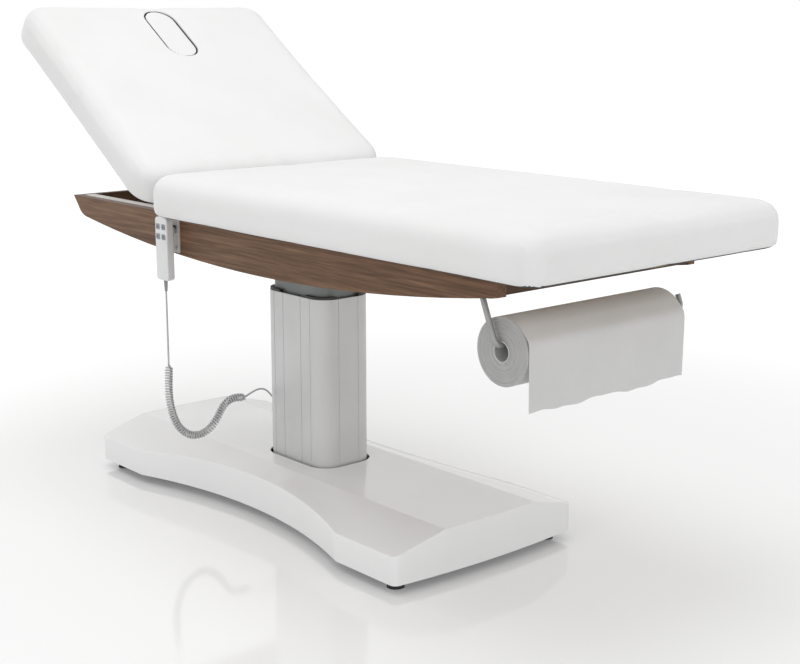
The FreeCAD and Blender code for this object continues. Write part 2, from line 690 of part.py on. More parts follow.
def skirt_pieces():
    inner = size.rail_y + size.rail_width
    outer = inner + size.board_thickness
    screw_z = size.rail_top - size.rail_height / 2
    along = (-size.rail_head / 2, size.cross_column_x, size.cross_seat_x)
    screws = []
    rail_inside = size.rail_y + size.rail_width - size.rail_wall
    for label, side in (("skirt_near", -1), ("skirt_far", 1)):
        low, high = side_of(side, inner, outer)
        board = plate(label + "_board", "XZ", low, high, [skirt_outline()])
        tools = []
        for x in along:
            ends = side_of(side, rail_inside, inner + size.screw_depth)
            screws.append(bar("y", size.screw_radius, ends, (x, screw_z)))
            tools.append(bar("y", size.screw_radius, ends, (x, screw_z)))
            head = side_of(side, rail_inside - size.screw_head, rail_inside)
            screws[-1] = fuse(screws[-1], bar("y", size.screw_head_radius, head, (x, screw_z)))
        piece(label, cut(board, *tools))
    for rail in ("frame_rail_near", "frame_rail_far"):
        drill_rail(rail, along, screw_z)
    between = (-inner, inner)
    head = -size.skirt_head
    thick = size.head_board_thickness
    low = size.tray_z + size.tray_thickness
    lean = (size.rail_top - low) * size.tip_run / size.tip_drop
    leaning = [(head, size.rail_top), (head + lean, low), (head + lean + thick, low),
               (head + thick, size.rail_top)]
    place(plate("skirt_head", "XZ", -inner, inner, [leaning]))
    foot_x = (size.rail_foot, size.skirt_foot)
    piece("skirt_foot", box(foot_x, between, (size.rail_top - size.rail_height, size.rail_top)))
    return screws


def drill_rail(label, along, screw_z):
    """Open the holes for the boards' screws in a finished rail."""
    group = doc.getObject(label)
    side = -1 if label.endswith("near") else 1
    wall = side_of(side, size.rail_y + size.rail_width - size.rail_wall - size.overrun,
                   size.rail_y + size.rail_width + size.overrun)
    group.Links = [cut(group.Links[0], *[bar("y", size.screw_radius, wall, (x, screw_z)) for x in along])]


# Cushions
def ring(x, half_width, inset, corner, height):
    """A level outline of a cushion, drawn in by an inset."""
    low = x[0] + inset
    high = x[1] - inset
    wide = half_width - inset
    turn = max(corner - inset, corner / 4)
    spots = []
    for quarter, (side_x, side_y) in enumerate(((low, -wide), (high, -wide), (high, wide), (low, wide))):
        middle = Vector(side_x + math.copysign(turn, -1 if side_x == high else 1),
                        side_y + math.copysign(turn, -side_y), height)
        for step in range(3):
            turned = math.pi / 4 * (2 * quarter + 4 + step)
            spots.append(middle + Vector(math.cos(turned), math.sin(turned), 0) * turn)
    edges = []
    for corner_at in range(4):
        first, mid, last = spots[3 * corner_at:3 * corner_at + 3]
        edges.append(Part.Arc(first, mid, last).toShape())
        edges.append(Part.LineSegment(last, spots[(3 * corner_at + 3) % 12]).toShape())
    return Part.Wire(edges)


def cushion_shape(x, corner, bottom, top):
    """A padded block: round lower and upper edges, and a top that rises to a low crown."""
    half = float(size.cushion_width / 2)
    low_round = float(size.edge_bottom_round)
    top_round = float(size.edge_top_round)
    crown = float(size.crown)
    rings = []
    for step in range(EDGE_STEPS + 1):
        turn = math.pi / 2 * step / EDGE_STEPS
        inset = low_round * (1 - math.sin(turn))
        rings.append(ring(x, half, inset, corner, bottom + low_round * (1 - math.cos(turn))))
    shoulder = top - crown
    reach = min(half, (x[1] - x[0]) / 2)
    for step in range(EDGE_STEPS + 1):
        turn = math.pi / 2 * step / EDGE_STEPS
        inset = top_round * (1 - math.cos(turn))
        rings.append(ring(x, half, inset, corner, shoulder - top_round * (1 - math.sin(turn))))
    for step in range(1, CROWN_STEPS + 1):
        share = step / CROWN_STEPS
        inset = top_round + (reach * 4 / 5 - top_round) * share
        rings.append(ring(x, half, inset, corner, top - crown * (1 - share) ** 2))
    return Part.makeLoft(rings, True, True)


def block_shape(x, y, z):
    low = [min(float(a), float(b)) for a, b in (x, y, z)]
    high = [max(float(a), float(b)) for a, b in (x, y, z)]
    return Part.makeBox(*[b - a for a, b in zip(low, high)], Vector(*low))


def stadium_shape(middle, length, width, z):
    half = float(width) / 2
    low = float(middle) - float(length) / 2 + half
    high = float(middle) + float(length) / 2 - half
    shape = block_shape((low, high), (-half, half), z)
    tall = float(z[1]) - float(z[0])
    for x in (low, high):
        shape = shape.fuse(Part.makeCylinder(half, tall, Vector(x, 0, float(z[0]))))
    return shape.removeSplitter()


def seat_pieces():
    inset = size.board_inset
    wide = size.cushion_width / 2 - inset
    board_z = (size.rail_top, size.cushion_bottom + size.cushion_board)
    board_x = (-size.seat_start + inset, size.seat_foot - inset)
    place(plate("seat_board", "XY", board_z[0], board_z[1], [rounded(board_x, (-wide, wide), inset)]))
    gap = size.soft_gap
    shape = cushion_shape((-float(size.seat_start), float(size.seat_foot)), float(size.seat_corner),
                          float(size.cushion_bottom), float(size.cushion_top))
    pocket = block_shape((board_x[0] - gap, board_x[1] + gap), (-wide - gap, wide + gap),
                         (size.cushion_bottom - size.overrun, board_z[1] + gap))
    shape = shape.cut(pocket)
    run_end = -size.seat_start + size.hinge_pocket_run
    for side in (-1, 1):
        notch = block_shape((-size.seat_start - size.overrun, run_end),
                            side_of(side, size.hinge_pocket_in, size.hinge_pocket_out),
                            (size.cushion_bottom - size.overrun, size.pivot_z + size.hinge_pocket_rise))
        shape = shape.cut(notch)
    shaped_piece("seat_cushion", shape)


# Backrest, drawn flat about its pivot
def backrest_pieces():
    gap = size.soft_gap
    top = size.cushion_top - size.pivot_z
    bottom = size.cushion_bottom - size.pivot_z
    start = -size.back_gap
    end = start - size.back_length
    inset = size.board_inset
    wide = size.cushion_width / 2 - inset
    board_x = (end + inset, start - inset)
    board_top = bottom + size.cushion_board
    plug_middle = end + size.plug_inset
    hole = stadium(plug_middle, size.plug_length - 2 * size.plug_ledge,
                   size.plug_width - 2 * size.plug_ledge)
    board = rounded(board_x, (-wide, wide), inset)
    place(plate("backrest_board", "XY", bottom, board_top, [board, hole]), True)

    shape = cushion_shape((float(end), float(start)), float(size.back_corner), float(bottom), float(top))
    shape = shape.cut(block_shape((board_x[0] - gap, board_x[1] + gap), (-wide - gap, wide + gap),
                                  (bottom - size.overrun, board_top + gap)))
    shape = shape.cut(stadium_shape(plug_middle, size.plug_length + 2 * gap, size.plug_width + 2 * gap,
                                    (bottom, top + size.overrun)))
    for side in (-1, 1):
        shape = shape.cut(block_shape((start - inset - gap, start + size.overrun),
                                      side_of(side, size.hinge_pocket_in, size.hinge_pocket_out),
                                      (bottom - size.overrun, size.hinge_pocket_rise)))
    shaped_piece("backrest_cushion", shape, True)

    # Filler of the face hole, seated on the board's ledge
    plug = plate("face_plug", "XY", board_top, top,
                 [stadium(plug_middle, size.plug_length, size.plug_width)])
    soften(plug, size.plug_ledge / 2, lambda edge: edge.BoundBox.ZMin > float(top) - TOUCH)
    place(plug, True)

    # Steel ribs and cross tubes under the board
    rib_z = (bottom - size.rib_width, bottom)
    rib_outer = size.hinge_arm_y
    rib_inner = rib_outer - size.rib_width
    rib_x = (-size.rib_start - size.rib_length, -size.rib_start)
    ribs = [tube_along(rib_x, side_of(side, rib_inner, rib_outer), rib_z, "x") for side in (-1, 1)]
    crosses = [tube_along((-start_x - size.rib_width, -start_x), (-rib_inner, rib_inner), rib_z, "y")
               for start_x in (size.back_cross_first, size.back_cross_second)]
    piece("backrest_ribs", *ribs, *crosses, tilted=True)

    # Moving half of the hinge
    arms = []
    radius = size.hinge_boss_radius
    foot = -size.arm_foot
    arm_top = rib_z[1] - size.running_gap
    for side in (-1, 1):
        low, high = side_of(side, size.hinge_arm_y, size.hinge_arm_y + size.hinge_plate)
        outline = [(foot, rib_z[0]), (-size.hinge_pin_radius, rib_z[0]), (radius, as_size(0), radius),
                   (as_size(0), radius, radius), (-radius, as_size(0)), (-size.arm_upright_start, arm_top),
                   (foot, arm_top)]
        arms.append(plate("hinge_arm", "XZ", low, high, [outline],
                          [(as_size(0), as_size(0), size.hinge_pin_radius + size.pin_gap)]))
    piece("hinge_arms", *arms, tilted=True)
    crank_pieces(rib_z)


def crank_pieces(rib_z):
    """Two plates that reach from the first cross tube to the pin in the drive's yoke."""
    pin_x = size.crank_radius * sine(size.back_angle)
    pin_z = -size.crank_radius * cosine(size.back_angle)
    boss = size.crank_boss_radius
    head = -size.back_cross_first - size.rib_width
    low_z = rib_z[0]
    top_z = rib_z[1] - size.yoke_side_gap
    outline = [(head, low_z - size.crank_plate), (pin_x - size.crank_heel, pin_z - size.crank_heel_drop),
               (pin_x, pin_z - boss, boss), (pin_x + boss, pin_z, boss), (pin_x, pin_z + boss),
               (pin_x - size.crank_knee, top_z),
               (-size.rib_start, top_z), (-size.back_cross_first, top_z), (-size.back_cross_first, low_z),
               (head, low_z)]
    plates = []
    inner = size.yoke_thickness / 2 + size.yoke_side_gap
    for side in (-1, 1):
        low, high = side_of(side, inner, inner + size.crank_plate)
        plates.append(plate("crank_arm", "XZ", size.drive_y + low, size.drive_y + high, [outline],
                            [(pin_x, pin_z, size.crank_pin_radius)]))
    piece("crank_arms", *plates, tilted=True)
    reach = inner + size.crank_plate + size.yoke_side_gap
    piece("crank_pin", bar("y", size.crank_pin_radius, (size.drive_y - reach, size.drive_y + reach),
                           (pin_x, pin_z)), tilted=True)


def hinge_fixed_pieces():
    plates = []
    pins = []
    radius = size.hinge_boss_radius
    pin = size.hinge_pin_radius
    x = size.pivot_x
    z = size.pivot_z
    for side in (-1, 1):
        low, high = side_of(side, size.hinge_fixed_y, size.hinge_fixed_y + size.hinge_plate)
        outline = [(x - size.hinge_foot_head, size.rail_top), (x + size.hinge_foot_foot, size.rail_top),
                   (x + radius, z, radius), (x, z + radius, radius), (x - radius, z)]
        plates.append(plate("hinge_plate", "XZ", low, high, [outline], [(x, z, pin)]))
        arm = size.hinge_arm_y
        fixed = size.hinge_fixed_y
        end = fixed + size.hinge_plate
        shank = bar("y", pin, side_of(side, arm - size.hinge_head, end + size.hinge_head), (x, z))
        inner = bar("y", size.hinge_head_radius,
                    side_of(side, arm - size.hinge_head, arm - size.running_gap), (x, z))
        collar = bar("y", size.hinge_head_radius,
                     side_of(side, arm + size.hinge_plate + size.running_gap, fixed), (x, z))
        outer = bar("y", size.hinge_head_radius, side_of(side, end, end + size.hinge_head), (x, z))
        pins.append(fuse(shank, inner, collar, outer))
    piece("hinge_plates", *plates)
    piece("hinge_pins", *pins)


# Drive of the backrest
def drive_pieces():
    y = size.drive_y
    z = size.drive_z
    tube_x = (size.drive_tube_start, size.drive_tube_end)
    bore = bar("x", size.drive_rod_radius + size.running_gap,
               (tube_x[0] - size.overrun, tube_x[0] + size.drive_bore), (y, z))
    piece("actuator_tube", cut(bar("x", size.drive_tube_radius, tube_x, (y, z)), bore))
    piece("actuator_motor", box((tube_x[1], tube_x[1] + size.motor_length), around(y, size.motor_width),
                                around(z, size.motor_height)))
    low = size.rail_top - size.rail_height
    clamps = []
    for x in (-size.cross_column_x, size.cross_column_x):
        block = box(around(x, size.clamp_length), around(y, size.clamp_width), (z - size.clamp_drop, low))
        hole = bar("x", size.drive_tube_radius, around(x, size.clamp_length + 2 * size.overrun), (y, z))
        clamps.append(cut(block, hole))
    piece("actuator_clamps", *clamps)

    # Slotted yoke round the crank pin, and the rod that pulls it
    x = size.pivot_x
    half = size.crank_pin_radius + size.yoke_play
    rim = size.yoke_rim
    slot = rounded((x - half, x + half), (z - half, z + size.yoke_rise + half), size.crank_pin_radius)
    outer = rounded((x - half - rim, x + half + rim), (z - half - rim, z + size.yoke_rise + half + rim),
                    size.crank_pin_radius)
    place(plate("rod_yoke", "XZ", y - size.yoke_thickness / 2, y + size.yoke_thickness / 2, [outer, slot]))
    start = x + half + rim
    piece("actuator_rod", bar("x", size.drive_rod_radius, (start, start + size.drive_rod_length), (y, z)))


# Paper roll, its holder and the loose end of the paper
def rounded_path(points, radii=None):
    """Straight runs joined by tangent arcs; returns the edges and the radii of the arcs."""
    edges = []
    found = []
    last = points[0]
    for index in range(1, len(points) - 1):
        before, corner, after = points[index - 1], points[index], points[index + 1]
        come = (corner - before).normalize()
        leave = (after - corner).normalize()
        half = come.getAngle(leave) / 2
        run = min((corner - before).Length, (after - corner).Length)
        radius = radii[index - 1] if radii else CORD_RADIUS_SHARE * run / math.tan(half)
        back = radius * math.tan(half)
        start = corner - come * back
        end = corner + leave * back
        inward = (leave - come).normalize()
        mid = corner + inward * (radius / math.cos(half) - radius)
        edges.append(Part.LineSegment(last, start).toShape())
        edges.append(Part.Arc(start, mid, end).toShape())
        found.append(radius)
        last = end
    edges.append(Part.LineSegment(last, points[-1]).toShape())
    return edges, found


def tube_shape(edges, width):
    """A round tube swept along joined edges."""
    start = edges[0].valueAt(edges[0].FirstParameter)
    along = edges[0].tangentAt(edges[0].FirstParameter)
    section = Part.Wire(Part.makeCircle(width / 2, start, along))
    return Part.Wire(edges).makePipeShell([section], True, False)


def roll_pieces():
    x = size.roll_x
    z = size.roll_z
    half = size.roll_length / 2
    core_half = half + size.core_overhang
    roll = cut(bar("y", size.roll_radius, (-half, half), (x, z)),
               bar("y", size.roll_core_radius, (-half - size.overrun, half + size.overrun), (x, z)))
    piece("paper_roll", roll)
    core = cut(bar("y", size.roll_core_radius, (-core_half, core_half), (x, z)),
               bar("y", size.core_bore, (-core_half - size.overrun, core_half + size.overrun), (x, z)))
    piece("roll_core", core)

    # Bent rod: down from the flange, through the core, and up again past its far end
    rod_z = z + size.core_bore - size.holder_radius - size.running_gap
    lean = math.tan(math.radians(float(size.holder_lean)))
    near = -float(size.holder_y)
    far = float(size.holder_far_y)
    top_x = float(x) - (float(size.holder_top_z) - float(rod_z)) * lean
    stub_x = float(x) - (float(size.holder_stub_z) - float(rod_z)) * lean
    points = [Vector(top_x, near, float(size.holder_top_z)), Vector(float(x), near, float(rod_z)),
              Vector(float(x), far, float(rod_z)), Vector(stub_x, far, float(size.holder_stub_z))]
    edges, _ = rounded_path(points, [float(size.holder_bend)] * 2)
    bent = doc.addObject("Part::Feature", "bent_rod")
    bent.Shape = tube_shape(edges, float(2 * size.holder_radius))
    rail_bottom = size.rail_top - size.rail_height
    flange_z = (rail_bottom - size.flange_thickness, rail_bottom)
    flange_y = around(-size.holder_y, size.flange_width)
    spots = [(x, -size.holder_y) for x in (size.holder_screw_head_x, size.holder_screw_foot_x)]
    through = (flange_z[0] - size.overrun, flange_z[1] + size.overrun)
    holes = [bar("z", size.holder_screw_radius, through, spot) for spot in spots]
    flange = box((size.flange_head, size.flange_foot), flange_y, (flange_z[0], flange_z[1]))
    piece("roll_holder", cut(fuse(bent, flange), *holes))
    screws = []
    for spot in spots:
        head = bar("z", size.holder_screw_head_radius,
                   (flange_z[0] - size.holder_screw_head, flange_z[0]), spot)
        shank = bar("z", size.holder_screw_radius, (flange_z[0], flange_z[1] + size.rail_wall), spot)
        screws.append(fuse(head, shank))
    piece("holder_screws", *screws)
    rail = doc.getObject("frame_rail_near")
    floor = (flange_z[1] - size.overrun, flange_z[1] + size.rail_wall + size.overrun)
    rail_holes = [bar("z", size.holder_screw_radius, floor, spot) for spot in spots]
    rail.Links = [cut(rail.Links[0], *rail_holes)]

    # Hanging sheet with a torn, wavy lower edge
    sheet_x = x + size.roll_radius + size.running_gap
    wide = size.roll_length - 2 * size.sheet_inset
    step = wide / WAVES
    bend = (step * step / 4 + size.sheet_wave * size.sheet_wave) / (2 * size.sheet_wave)
    corners = [(-wide / 2 + step * at, size.sheet_bottom, bend if at % 2 else -bend)
               for at in range(WAVES)]
    corners += [(wide / 2, size.sheet_bottom), (wide / 2, z), (-wide / 2, z)]
    place(plate("paper_sheet", "YZ", sheet_x, sheet_x + size.sheet_thickness, [corners]))


# Handset
def handset_pieces(board_screws):
    x = size.handset_x
    front = -size.handset_front
    split = front + size.front_shell
    back = front + size.handset_depth
    span_x = around(x, size.handset_width)
    span_z = (size.handset_bottom, size.handset_bottom + size.handset_height)
    wall = size.handset_wall
    corner = size.handset_corner
    inner_x = (span_x[0] + wall, span_x[1] - wall)
    inner_z = (span_z[0] + wall, span_z[1] - wall)

    def is_face_edge(y):
        """A test for the edges that lie in one face."""
        return lambda edge: (abs(edge.BoundBox.YMin - float(y)) < TOUCH
                             and abs(edge.BoundBox.YMax - float(y)) < TOUCH)

    front_shell = plate("front_form", "XZ", front, split, [rounded(span_x, span_z, corner)])
    soften(front_shell, wall * 3 / 2, is_face_edge(front))
    front_hollow = plate("front_hollow", "XZ", front + wall, split + size.overrun,
                         [rounded(inner_x, inner_z, corner - wall)])
    back_shell = plate("back_form", "XZ", split, back, [rounded(span_x, span_z, corner)])
    soften(back_shell, wall * 3 / 2, is_face_edge(back))
    back_hollow = plate("back_hollow", "XZ", split - size.overrun, back - wall,
                        [rounded(inner_x, inner_z, corner - wall)])
    holes = []
    gap = size.button_gap
    rim = size.button_rim
    names = (("button_back_up", -1, size.button_top_z), ("button_back_down", -1, size.button_low_z),
             ("button_bed_up", 1, size.button_top_z), ("button_bed_down", 1, size.button_low_z))
    for label, side, z in names:
        middle = x + side * size.button_column
        wide = around(middle, size.button_width)
        tall = around(z, size.button_height)
        opening = rounded((wide[0] - gap, wide[1] + gap), (tall[0] - gap, tall[1] + gap),
                          size.button_corner + gap)
        holes.append(plate("button_hole", "XZ", front - size.overrun, front + wall + size.overrun,
                           [opening]))
        cap = plate("button_cap", "XZ", front - size.button_rise, front - size.button_rise + size.button_depth,
                    [rounded(wide, tall, size.button_corner)])
        flange_y = front + wall + size.running_gap
        flange = plate("button_flange", "XZ", flange_y, flange_y + size.button_rim_depth,
                       [rounded((wide[0] - rim, wide[1] + rim), (tall[0] - rim, tall[1] + rim),
                                size.button_corner + rim)])
        piece(label, fuse(cap, flange))
    piece("handset_front", cut(front_shell, front_hollow, *holes))
    circuit_y = -size.circuit_y
    place(plate("handset_circuit", "XZ", circuit_y, circuit_y + size.circuit_thickness,
                [rounded(inner_x, inner_z, corner - wall)]))
    piece("handset_back", cut(back_shell, back_hollow))

    # Clip on the back, hooked over the bracket's lip
    hull = -(size.rail_y + size.rail_width + size.board_thickness)
    plate_front = hull - size.bracket_plate
    lip_front = plate_front - size.lip_reach + size.bracket_plate
    lip_top = size.lip_z + size.lip_height
    clip_x = around(x, size.clip_width)
    clip_z = (lip_top + size.running_gap, lip_top + size.running_gap + size.clip_plate)
    finger_y = (lip_front + size.bracket_plate + size.clip_finger_gap,
                lip_front + size.bracket_plate + size.clip_finger_gap + size.clip_plate)
    web = box(clip_x, (back, back + size.clip_plate), (clip_z[1] - size.clip_web, clip_z[1]))
    shelf = box(clip_x, (back, finger_y[1]), clip_z)
    finger = box(clip_x, finger_y, (clip_z[0] - size.clip_drop, clip_z[1]))
    piece("handset_clip", fuse(web, shelf, finger))

    bracket_x = around(x, size.bracket_width)
    bracket_z = (size.bracket_bottom, size.bracket_bottom + size.bracket_height)
    lip_x = around(x, size.lip_width)
    back_plate = box(bracket_x, (plate_front, hull), bracket_z)
    shelf = box(lip_x, (lip_front, plate_front), (size.lip_z, size.lip_z + size.bracket_plate))
    lip = box(lip_x, (lip_front, lip_front + size.bracket_plate), (size.lip_z, lip_top))
    low_screw_z = bracket_z[0] + size.bracket_screw_drop
    screw_spots = [(x + side * size.bracket_width / 4, low_screw_z) for side in (-1, 1)]
    through = (plate_front - size.overrun, hull + size.overrun)
    holes = [bar("y", size.screw_radius, through, spot) for spot in screw_spots]
    piece("handset_bracket", cut(fuse(back_plate, shelf, lip), *holes))
    screws = []
    for spot in screw_spots:
        shank = bar("y", size.screw_radius, (plate_front, hull + size.screw_depth), spot)
        head = bar("y", size.screw_head_radius, (plate_front - size.screw_head, plate_front), spot)
        screws.append(fuse(shank, head))
    piece("board_screws", *board_screws, *screws)
    skirt = doc.getObject("skirt_near")
    into = (hull - size.overrun, hull + size.screw_depth)
    skirt.Links = [cut(skirt.Links[0], *[bar("y", size.screw_radius, into, spot) for spot in screw_spots])]
    relief = cone("z", size.relief_end_radius, size.relief_top_radius,
                  (size.handset_bottom - size.relief_length, size.handset_bottom),
                  (size.relief_x, size.relief_y))
    piece("strain_relief", relief)


# Handset cord
def vectors(points):
    return [Vector(*point) for point in points]


def cord_piece(label, points):
    edges, radii = rounded_path(vectors(points))
    shape = tube_shape(edges, float(size.cord_width))
    length = sum(edge.Length for edge in edges)
    expected = math.pi * float(size.cord_width) ** 2 / 4 * length
    print(label, "length %.1f" % length, "volume share %.4f" % (shape.Volume / expected),
          "radii", ["%.1f" % radius for radius in radii])
    shaped_piece(label, shape)


def walk(edges, distance):
    """Place and direction at a distance along joined edges."""
    for edge in edges:
        if distance <= edge.Length or edge is edges[-1]:
            at = edge.getParameterByLength(min(distance, edge.Length))
            return edge.valueAt(at), edge.tangentAt(at)
        distance -= edge.Length


def curl_points(edges, steps_per_turn):
    """Points of the coiled cord round its route: straight at both ends, swelling to full curls between them."""
    total = sum(edge.Length for edge in edges)
    straight = float(size.cord_width)
    swell = float(size.curl_start)
    turns = round((total - 2 * straight) / float(size.curl_pitch))
    count = turns * steps_per_turn
    middle, along = walk(edges, 0)
    side = along.cross(Vector(1, 0, 0)).normalize()
    points = []
    for step in range(count + 1):
        share = step / count
        run = straight + (total - 2 * straight) * share
        middle, along = walk(edges, run)
        side = (side - along * side.dot(along)).normalize()
        other = along.cross(side)
        grown = min((run - straight) / swell, (total - straight - run) / swell, 1)
        reach = float(size.curl_radius) * grown * grown * (3 - 2 * grown)
        turn = 2 * math.pi * turns * share
        points.append(middle + side * reach * math.cos(turn) + other * reach * math.sin(turn))
    return points


def arc_towards(start, corner, end):
    """The arc that leaves its start towards a corner and arrives at its end from there."""
    chord = (start + end) / 2
    rise = (corner - chord).Length
    half = (end - start).Length / 2
    mid = chord + (corner - chord).normalize() * half * math.tan(math.atan2(rise, half) / 2)
    return Part.Arc(start, mid, end).toShape()


def biarc(start, leave, end, arrive):
    """Two arcs that join two places and keep both directions."""
    chord = end - start
    both = leave + arrive
    spread = 2 * (1 - leave.dot(arrive))
    reach = (-chord.dot(both) + math.sqrt(chord.dot(both) ** 2 + spread * chord.dot(chord))) / spread
    first = start + leave * reach
    second = end - arrive * reach
    join = (first + second) / 2
    return [arc_towards(start, first, join), arc_towards(join, second, end)]


def curl_piece():
    route, radii = rounded_path(vectors(CURL_POINTS))
    print("cord_curl centre radii", ["%.1f" % radius for radius in radii])
    points = curl_points(route, 2 * GAP_STEPS)
    last = len(points) - 1
    ends = [walk(route, 0), walk(route, sum(edge.Length for edge in route))]
    ties = list(range(0, last + 1, GAP_STEPS))
    ways = [(points[min(at + 1, last)] - points[max(at - 1, 0)]).normalize() for at in ties]
    ways[0] = ends[0][1]
    ways[-1] = ends[1][1]
    edges = [Part.LineSegment(ends[0][0], points[0]).toShape()]
    for at in range(len(ties) - 1):
        edges += biarc(points[ties[at]], ways[at], points[ties[at + 1]], ways[at + 1])
    edges.append(Part.LineSegment(points[-1], ends[1][0]).toShape())
    width = float(size.cord_width)
    shape = tube_shape(edges, width)
    length = sum(edge.Length for edge in edges)
    least = min((points[one] - points[other]).Length for one in range(last + 1)
                for other in range(one + 3 * GAP_STEPS // 2, min(one + 6 * GAP_STEPS, last + 1)))
    share = shape.Volume / (math.pi * width ** 2 / 4 * length)
    print("cord_curl length %.0f" % length, "volume share %.4f" % share,
          "curls", round(last / (2 * GAP_STEPS)), "least gap to itself %.2f" % (least - width))
    shaped_piece("cord_curl", shape)


plate_top = base_pieces()
column_pieces(plate_top)
frame_pieces()
board_screws = skirt_pieces()
seat_pieces()
backrest_pieces()
hinge_fixed_pieces()
drive_pieces()
roll_pieces()
handset_pieces(board_screws)
cord_piece("cord_lead", LEAD_POINTS)
curl_piece()
cord_piece("cord_tail", TAIL_POINTS)
doc.recompute()

# Stop on anything that failed, then write each piece
for thing in doc.Objects:
    if "Invalid" in thing.State or "Error" in thing.State:
        raise RuntimeError("%s failed: %s" % (thing.Label, thing.State))
for thing in pieces:
    if thing.Shape.isNull() or not thing.Shape.isValid() or not thing.Shape.Solids:
        raise RuntimeError(thing.Label + " has no valid solid")
os.makedirs("parts", exist_ok=True)
for thing in pieces:
    thing.Shape.exportStep("parts/" + thing.Label + ".step")
print(len(pieces), "pieces")
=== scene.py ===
# %% [markdown]
# # A spa treatment bed on a lifting column
# The imported CAD model is the fixed skeleton of this scene: every piece made here sits where the CAD
# puts it, and all but the two cords ride on one of its moving bodies.
# %% Load the frame
import json
import math

import bmesh
import bpy
from mathutils import Matrix, Vector


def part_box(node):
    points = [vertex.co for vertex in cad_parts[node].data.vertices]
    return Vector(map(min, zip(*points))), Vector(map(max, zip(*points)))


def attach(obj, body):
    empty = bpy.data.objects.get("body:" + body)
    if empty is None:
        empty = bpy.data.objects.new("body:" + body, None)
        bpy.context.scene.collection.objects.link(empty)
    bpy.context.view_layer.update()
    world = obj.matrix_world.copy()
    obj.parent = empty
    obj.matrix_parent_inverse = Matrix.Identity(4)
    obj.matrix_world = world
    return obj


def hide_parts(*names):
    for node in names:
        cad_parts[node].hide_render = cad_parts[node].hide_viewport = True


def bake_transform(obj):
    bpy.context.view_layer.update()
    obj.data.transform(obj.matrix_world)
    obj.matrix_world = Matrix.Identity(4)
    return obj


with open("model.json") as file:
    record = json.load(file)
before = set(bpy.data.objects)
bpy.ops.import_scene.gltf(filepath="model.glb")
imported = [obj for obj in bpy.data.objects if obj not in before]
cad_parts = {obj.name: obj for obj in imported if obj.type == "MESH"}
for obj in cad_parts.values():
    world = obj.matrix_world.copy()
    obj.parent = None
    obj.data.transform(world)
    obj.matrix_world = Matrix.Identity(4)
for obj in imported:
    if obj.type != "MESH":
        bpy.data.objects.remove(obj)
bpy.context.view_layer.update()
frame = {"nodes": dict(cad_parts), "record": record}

scene = bpy.context.scene
slot_of_node = {part["node"]: part["material_slot"] for part in frame["record"]["subparts"]}

# %% [markdown]
# ## The camera
# The photograph looks down on the bed from the foot end of its near side, through a fairly long
# lens. The place, the two angles and the lens came from fitting the bed's own edges to the picture,
# so no shift is needed.
# %% Camera
CAMERA_PLACE = (2.6838, -2.1728, 1.2162)
CAMERA_TILT, CAMERA_TURN = 77.624, 49.15
LENS = 65.96

camera = bpy.data.objects.new("camera", bpy.data.cameras.new("camera"))
scene.collection.objects.link(camera)
camera.location = CAMERA_PLACE
camera.rotation_euler = (math.radians(CAMERA_TILT), 0, math.radians(CAMERA_TURN))
camera.data.sensor_width = 36
camera.data.lens = LENS
camera.data.clip_end = 200
scene.camera = camera
print("camera lens", camera.data.lens)

# %% [markdown]
# ## Tools for the cords
# A cord is a curve through a few given points. A NURBS spline of order 3 turns them into one smooth
# line. Each curve becomes a tube mesh whose own line is kept beside it.
# %% Curve helpers
ROUND_SIDES = 3


def curve_through(name, points, thickness, steps):
    """A smooth curve through points, round and solid if it has a thickness."""
    data = bpy.data.curves.new(name, "CURVE")
    data.dimensions = "3D"
    data.resolution_u = steps
    data.bevel_depth = thickness / 2
    data.bevel_resolution = ROUND_SIDES
    data.use_fill_caps = True
    spline = data.splines.new("NURBS")
    spline.points.add(len(points) - 1)
    for knot, place in zip(spline.points, points):
        knot.co = (*place, 1)
    spline.order_u = 3
    spline.use_endpoint_u = True
    curve = bpy.data.objects.new(name, data)
    scene.collection.objects.link(curve)
    return curve


def as_mesh(thing):
    """The mesh that an object shows, with its modifiers applied."""
    graph = bpy.context.evaluated_depsgraph_get()
    return bpy.data.meshes.new_from_object(thing.evaluated_get(graph))


def line_through(points, steps):
    """Places along the smooth line through points."""
    guide = curve_through("guide", points, 0.0, steps)
    places = [corner.co.copy() for corner in as_mesh(guide).vertices]
    bpy.data.objects.remove(guide)
    return places


def tube_through(name, points, thickness, steps):
    """A tube mesh along the smooth line through points, and the line itself."""
    guide = curve_through("guide", points, thickness, steps)
    tube = bpy.data.objects.new(name, as_mesh(guide))
    bpy.data.objects.remove(guide)
    scene.collection.objects.link(tube)
    tube.data.shade_smooth()
    return tube, line_through(points, steps)


# %% [markdown]
# ## The handset's cord
# A straight lead drops from the handset, then the cord is wound into tight curls that sag in a
# loop, and a short straight tail goes into the column. The curls are a helix round the loop's own
# line: at each small step along it the point swings a little further round. The swing grows from
# nothing at both ends, as on a real curly cord.
# %% Route of the cord
CORD_WIDTH = 0.0045
CURL_RADIUS = 0.007992
CURL_PITCH = 0.0066
CURL_SWELL = 0.010
STEPS_PER_TURN = 14
STEPS_BETWEEN = 4
LEAD_ROUTE = [(-0.326, -0.319, 0.552), (-0.326, -0.319, 0.525), (-0.326, -0.319, 0.373)]
CURL_ROUTE = [
    (-0.326, -0.319, 0.373), (-0.326, -0.319, 0.353), (-0.323, -0.324, 0.294),
    (-0.319, -0.319, 0.249), (-0.315, -0.306, 0.212), (-0.312, -0.284, 0.189),
    (-0.310, -0.260, 0.180), (-0.308, -0.235, 0.182), (-0.306, -0.213, 0.195),
    (-0.305, -0.196, 0.215), (-0.304, -0.183, 0.238), (-0.302, -0.165, 0.256),
    (-0.300, -0.138, 0.261), (-0.299, -0.119, 0.255), (-0.298, -0.108, 0.260),
]
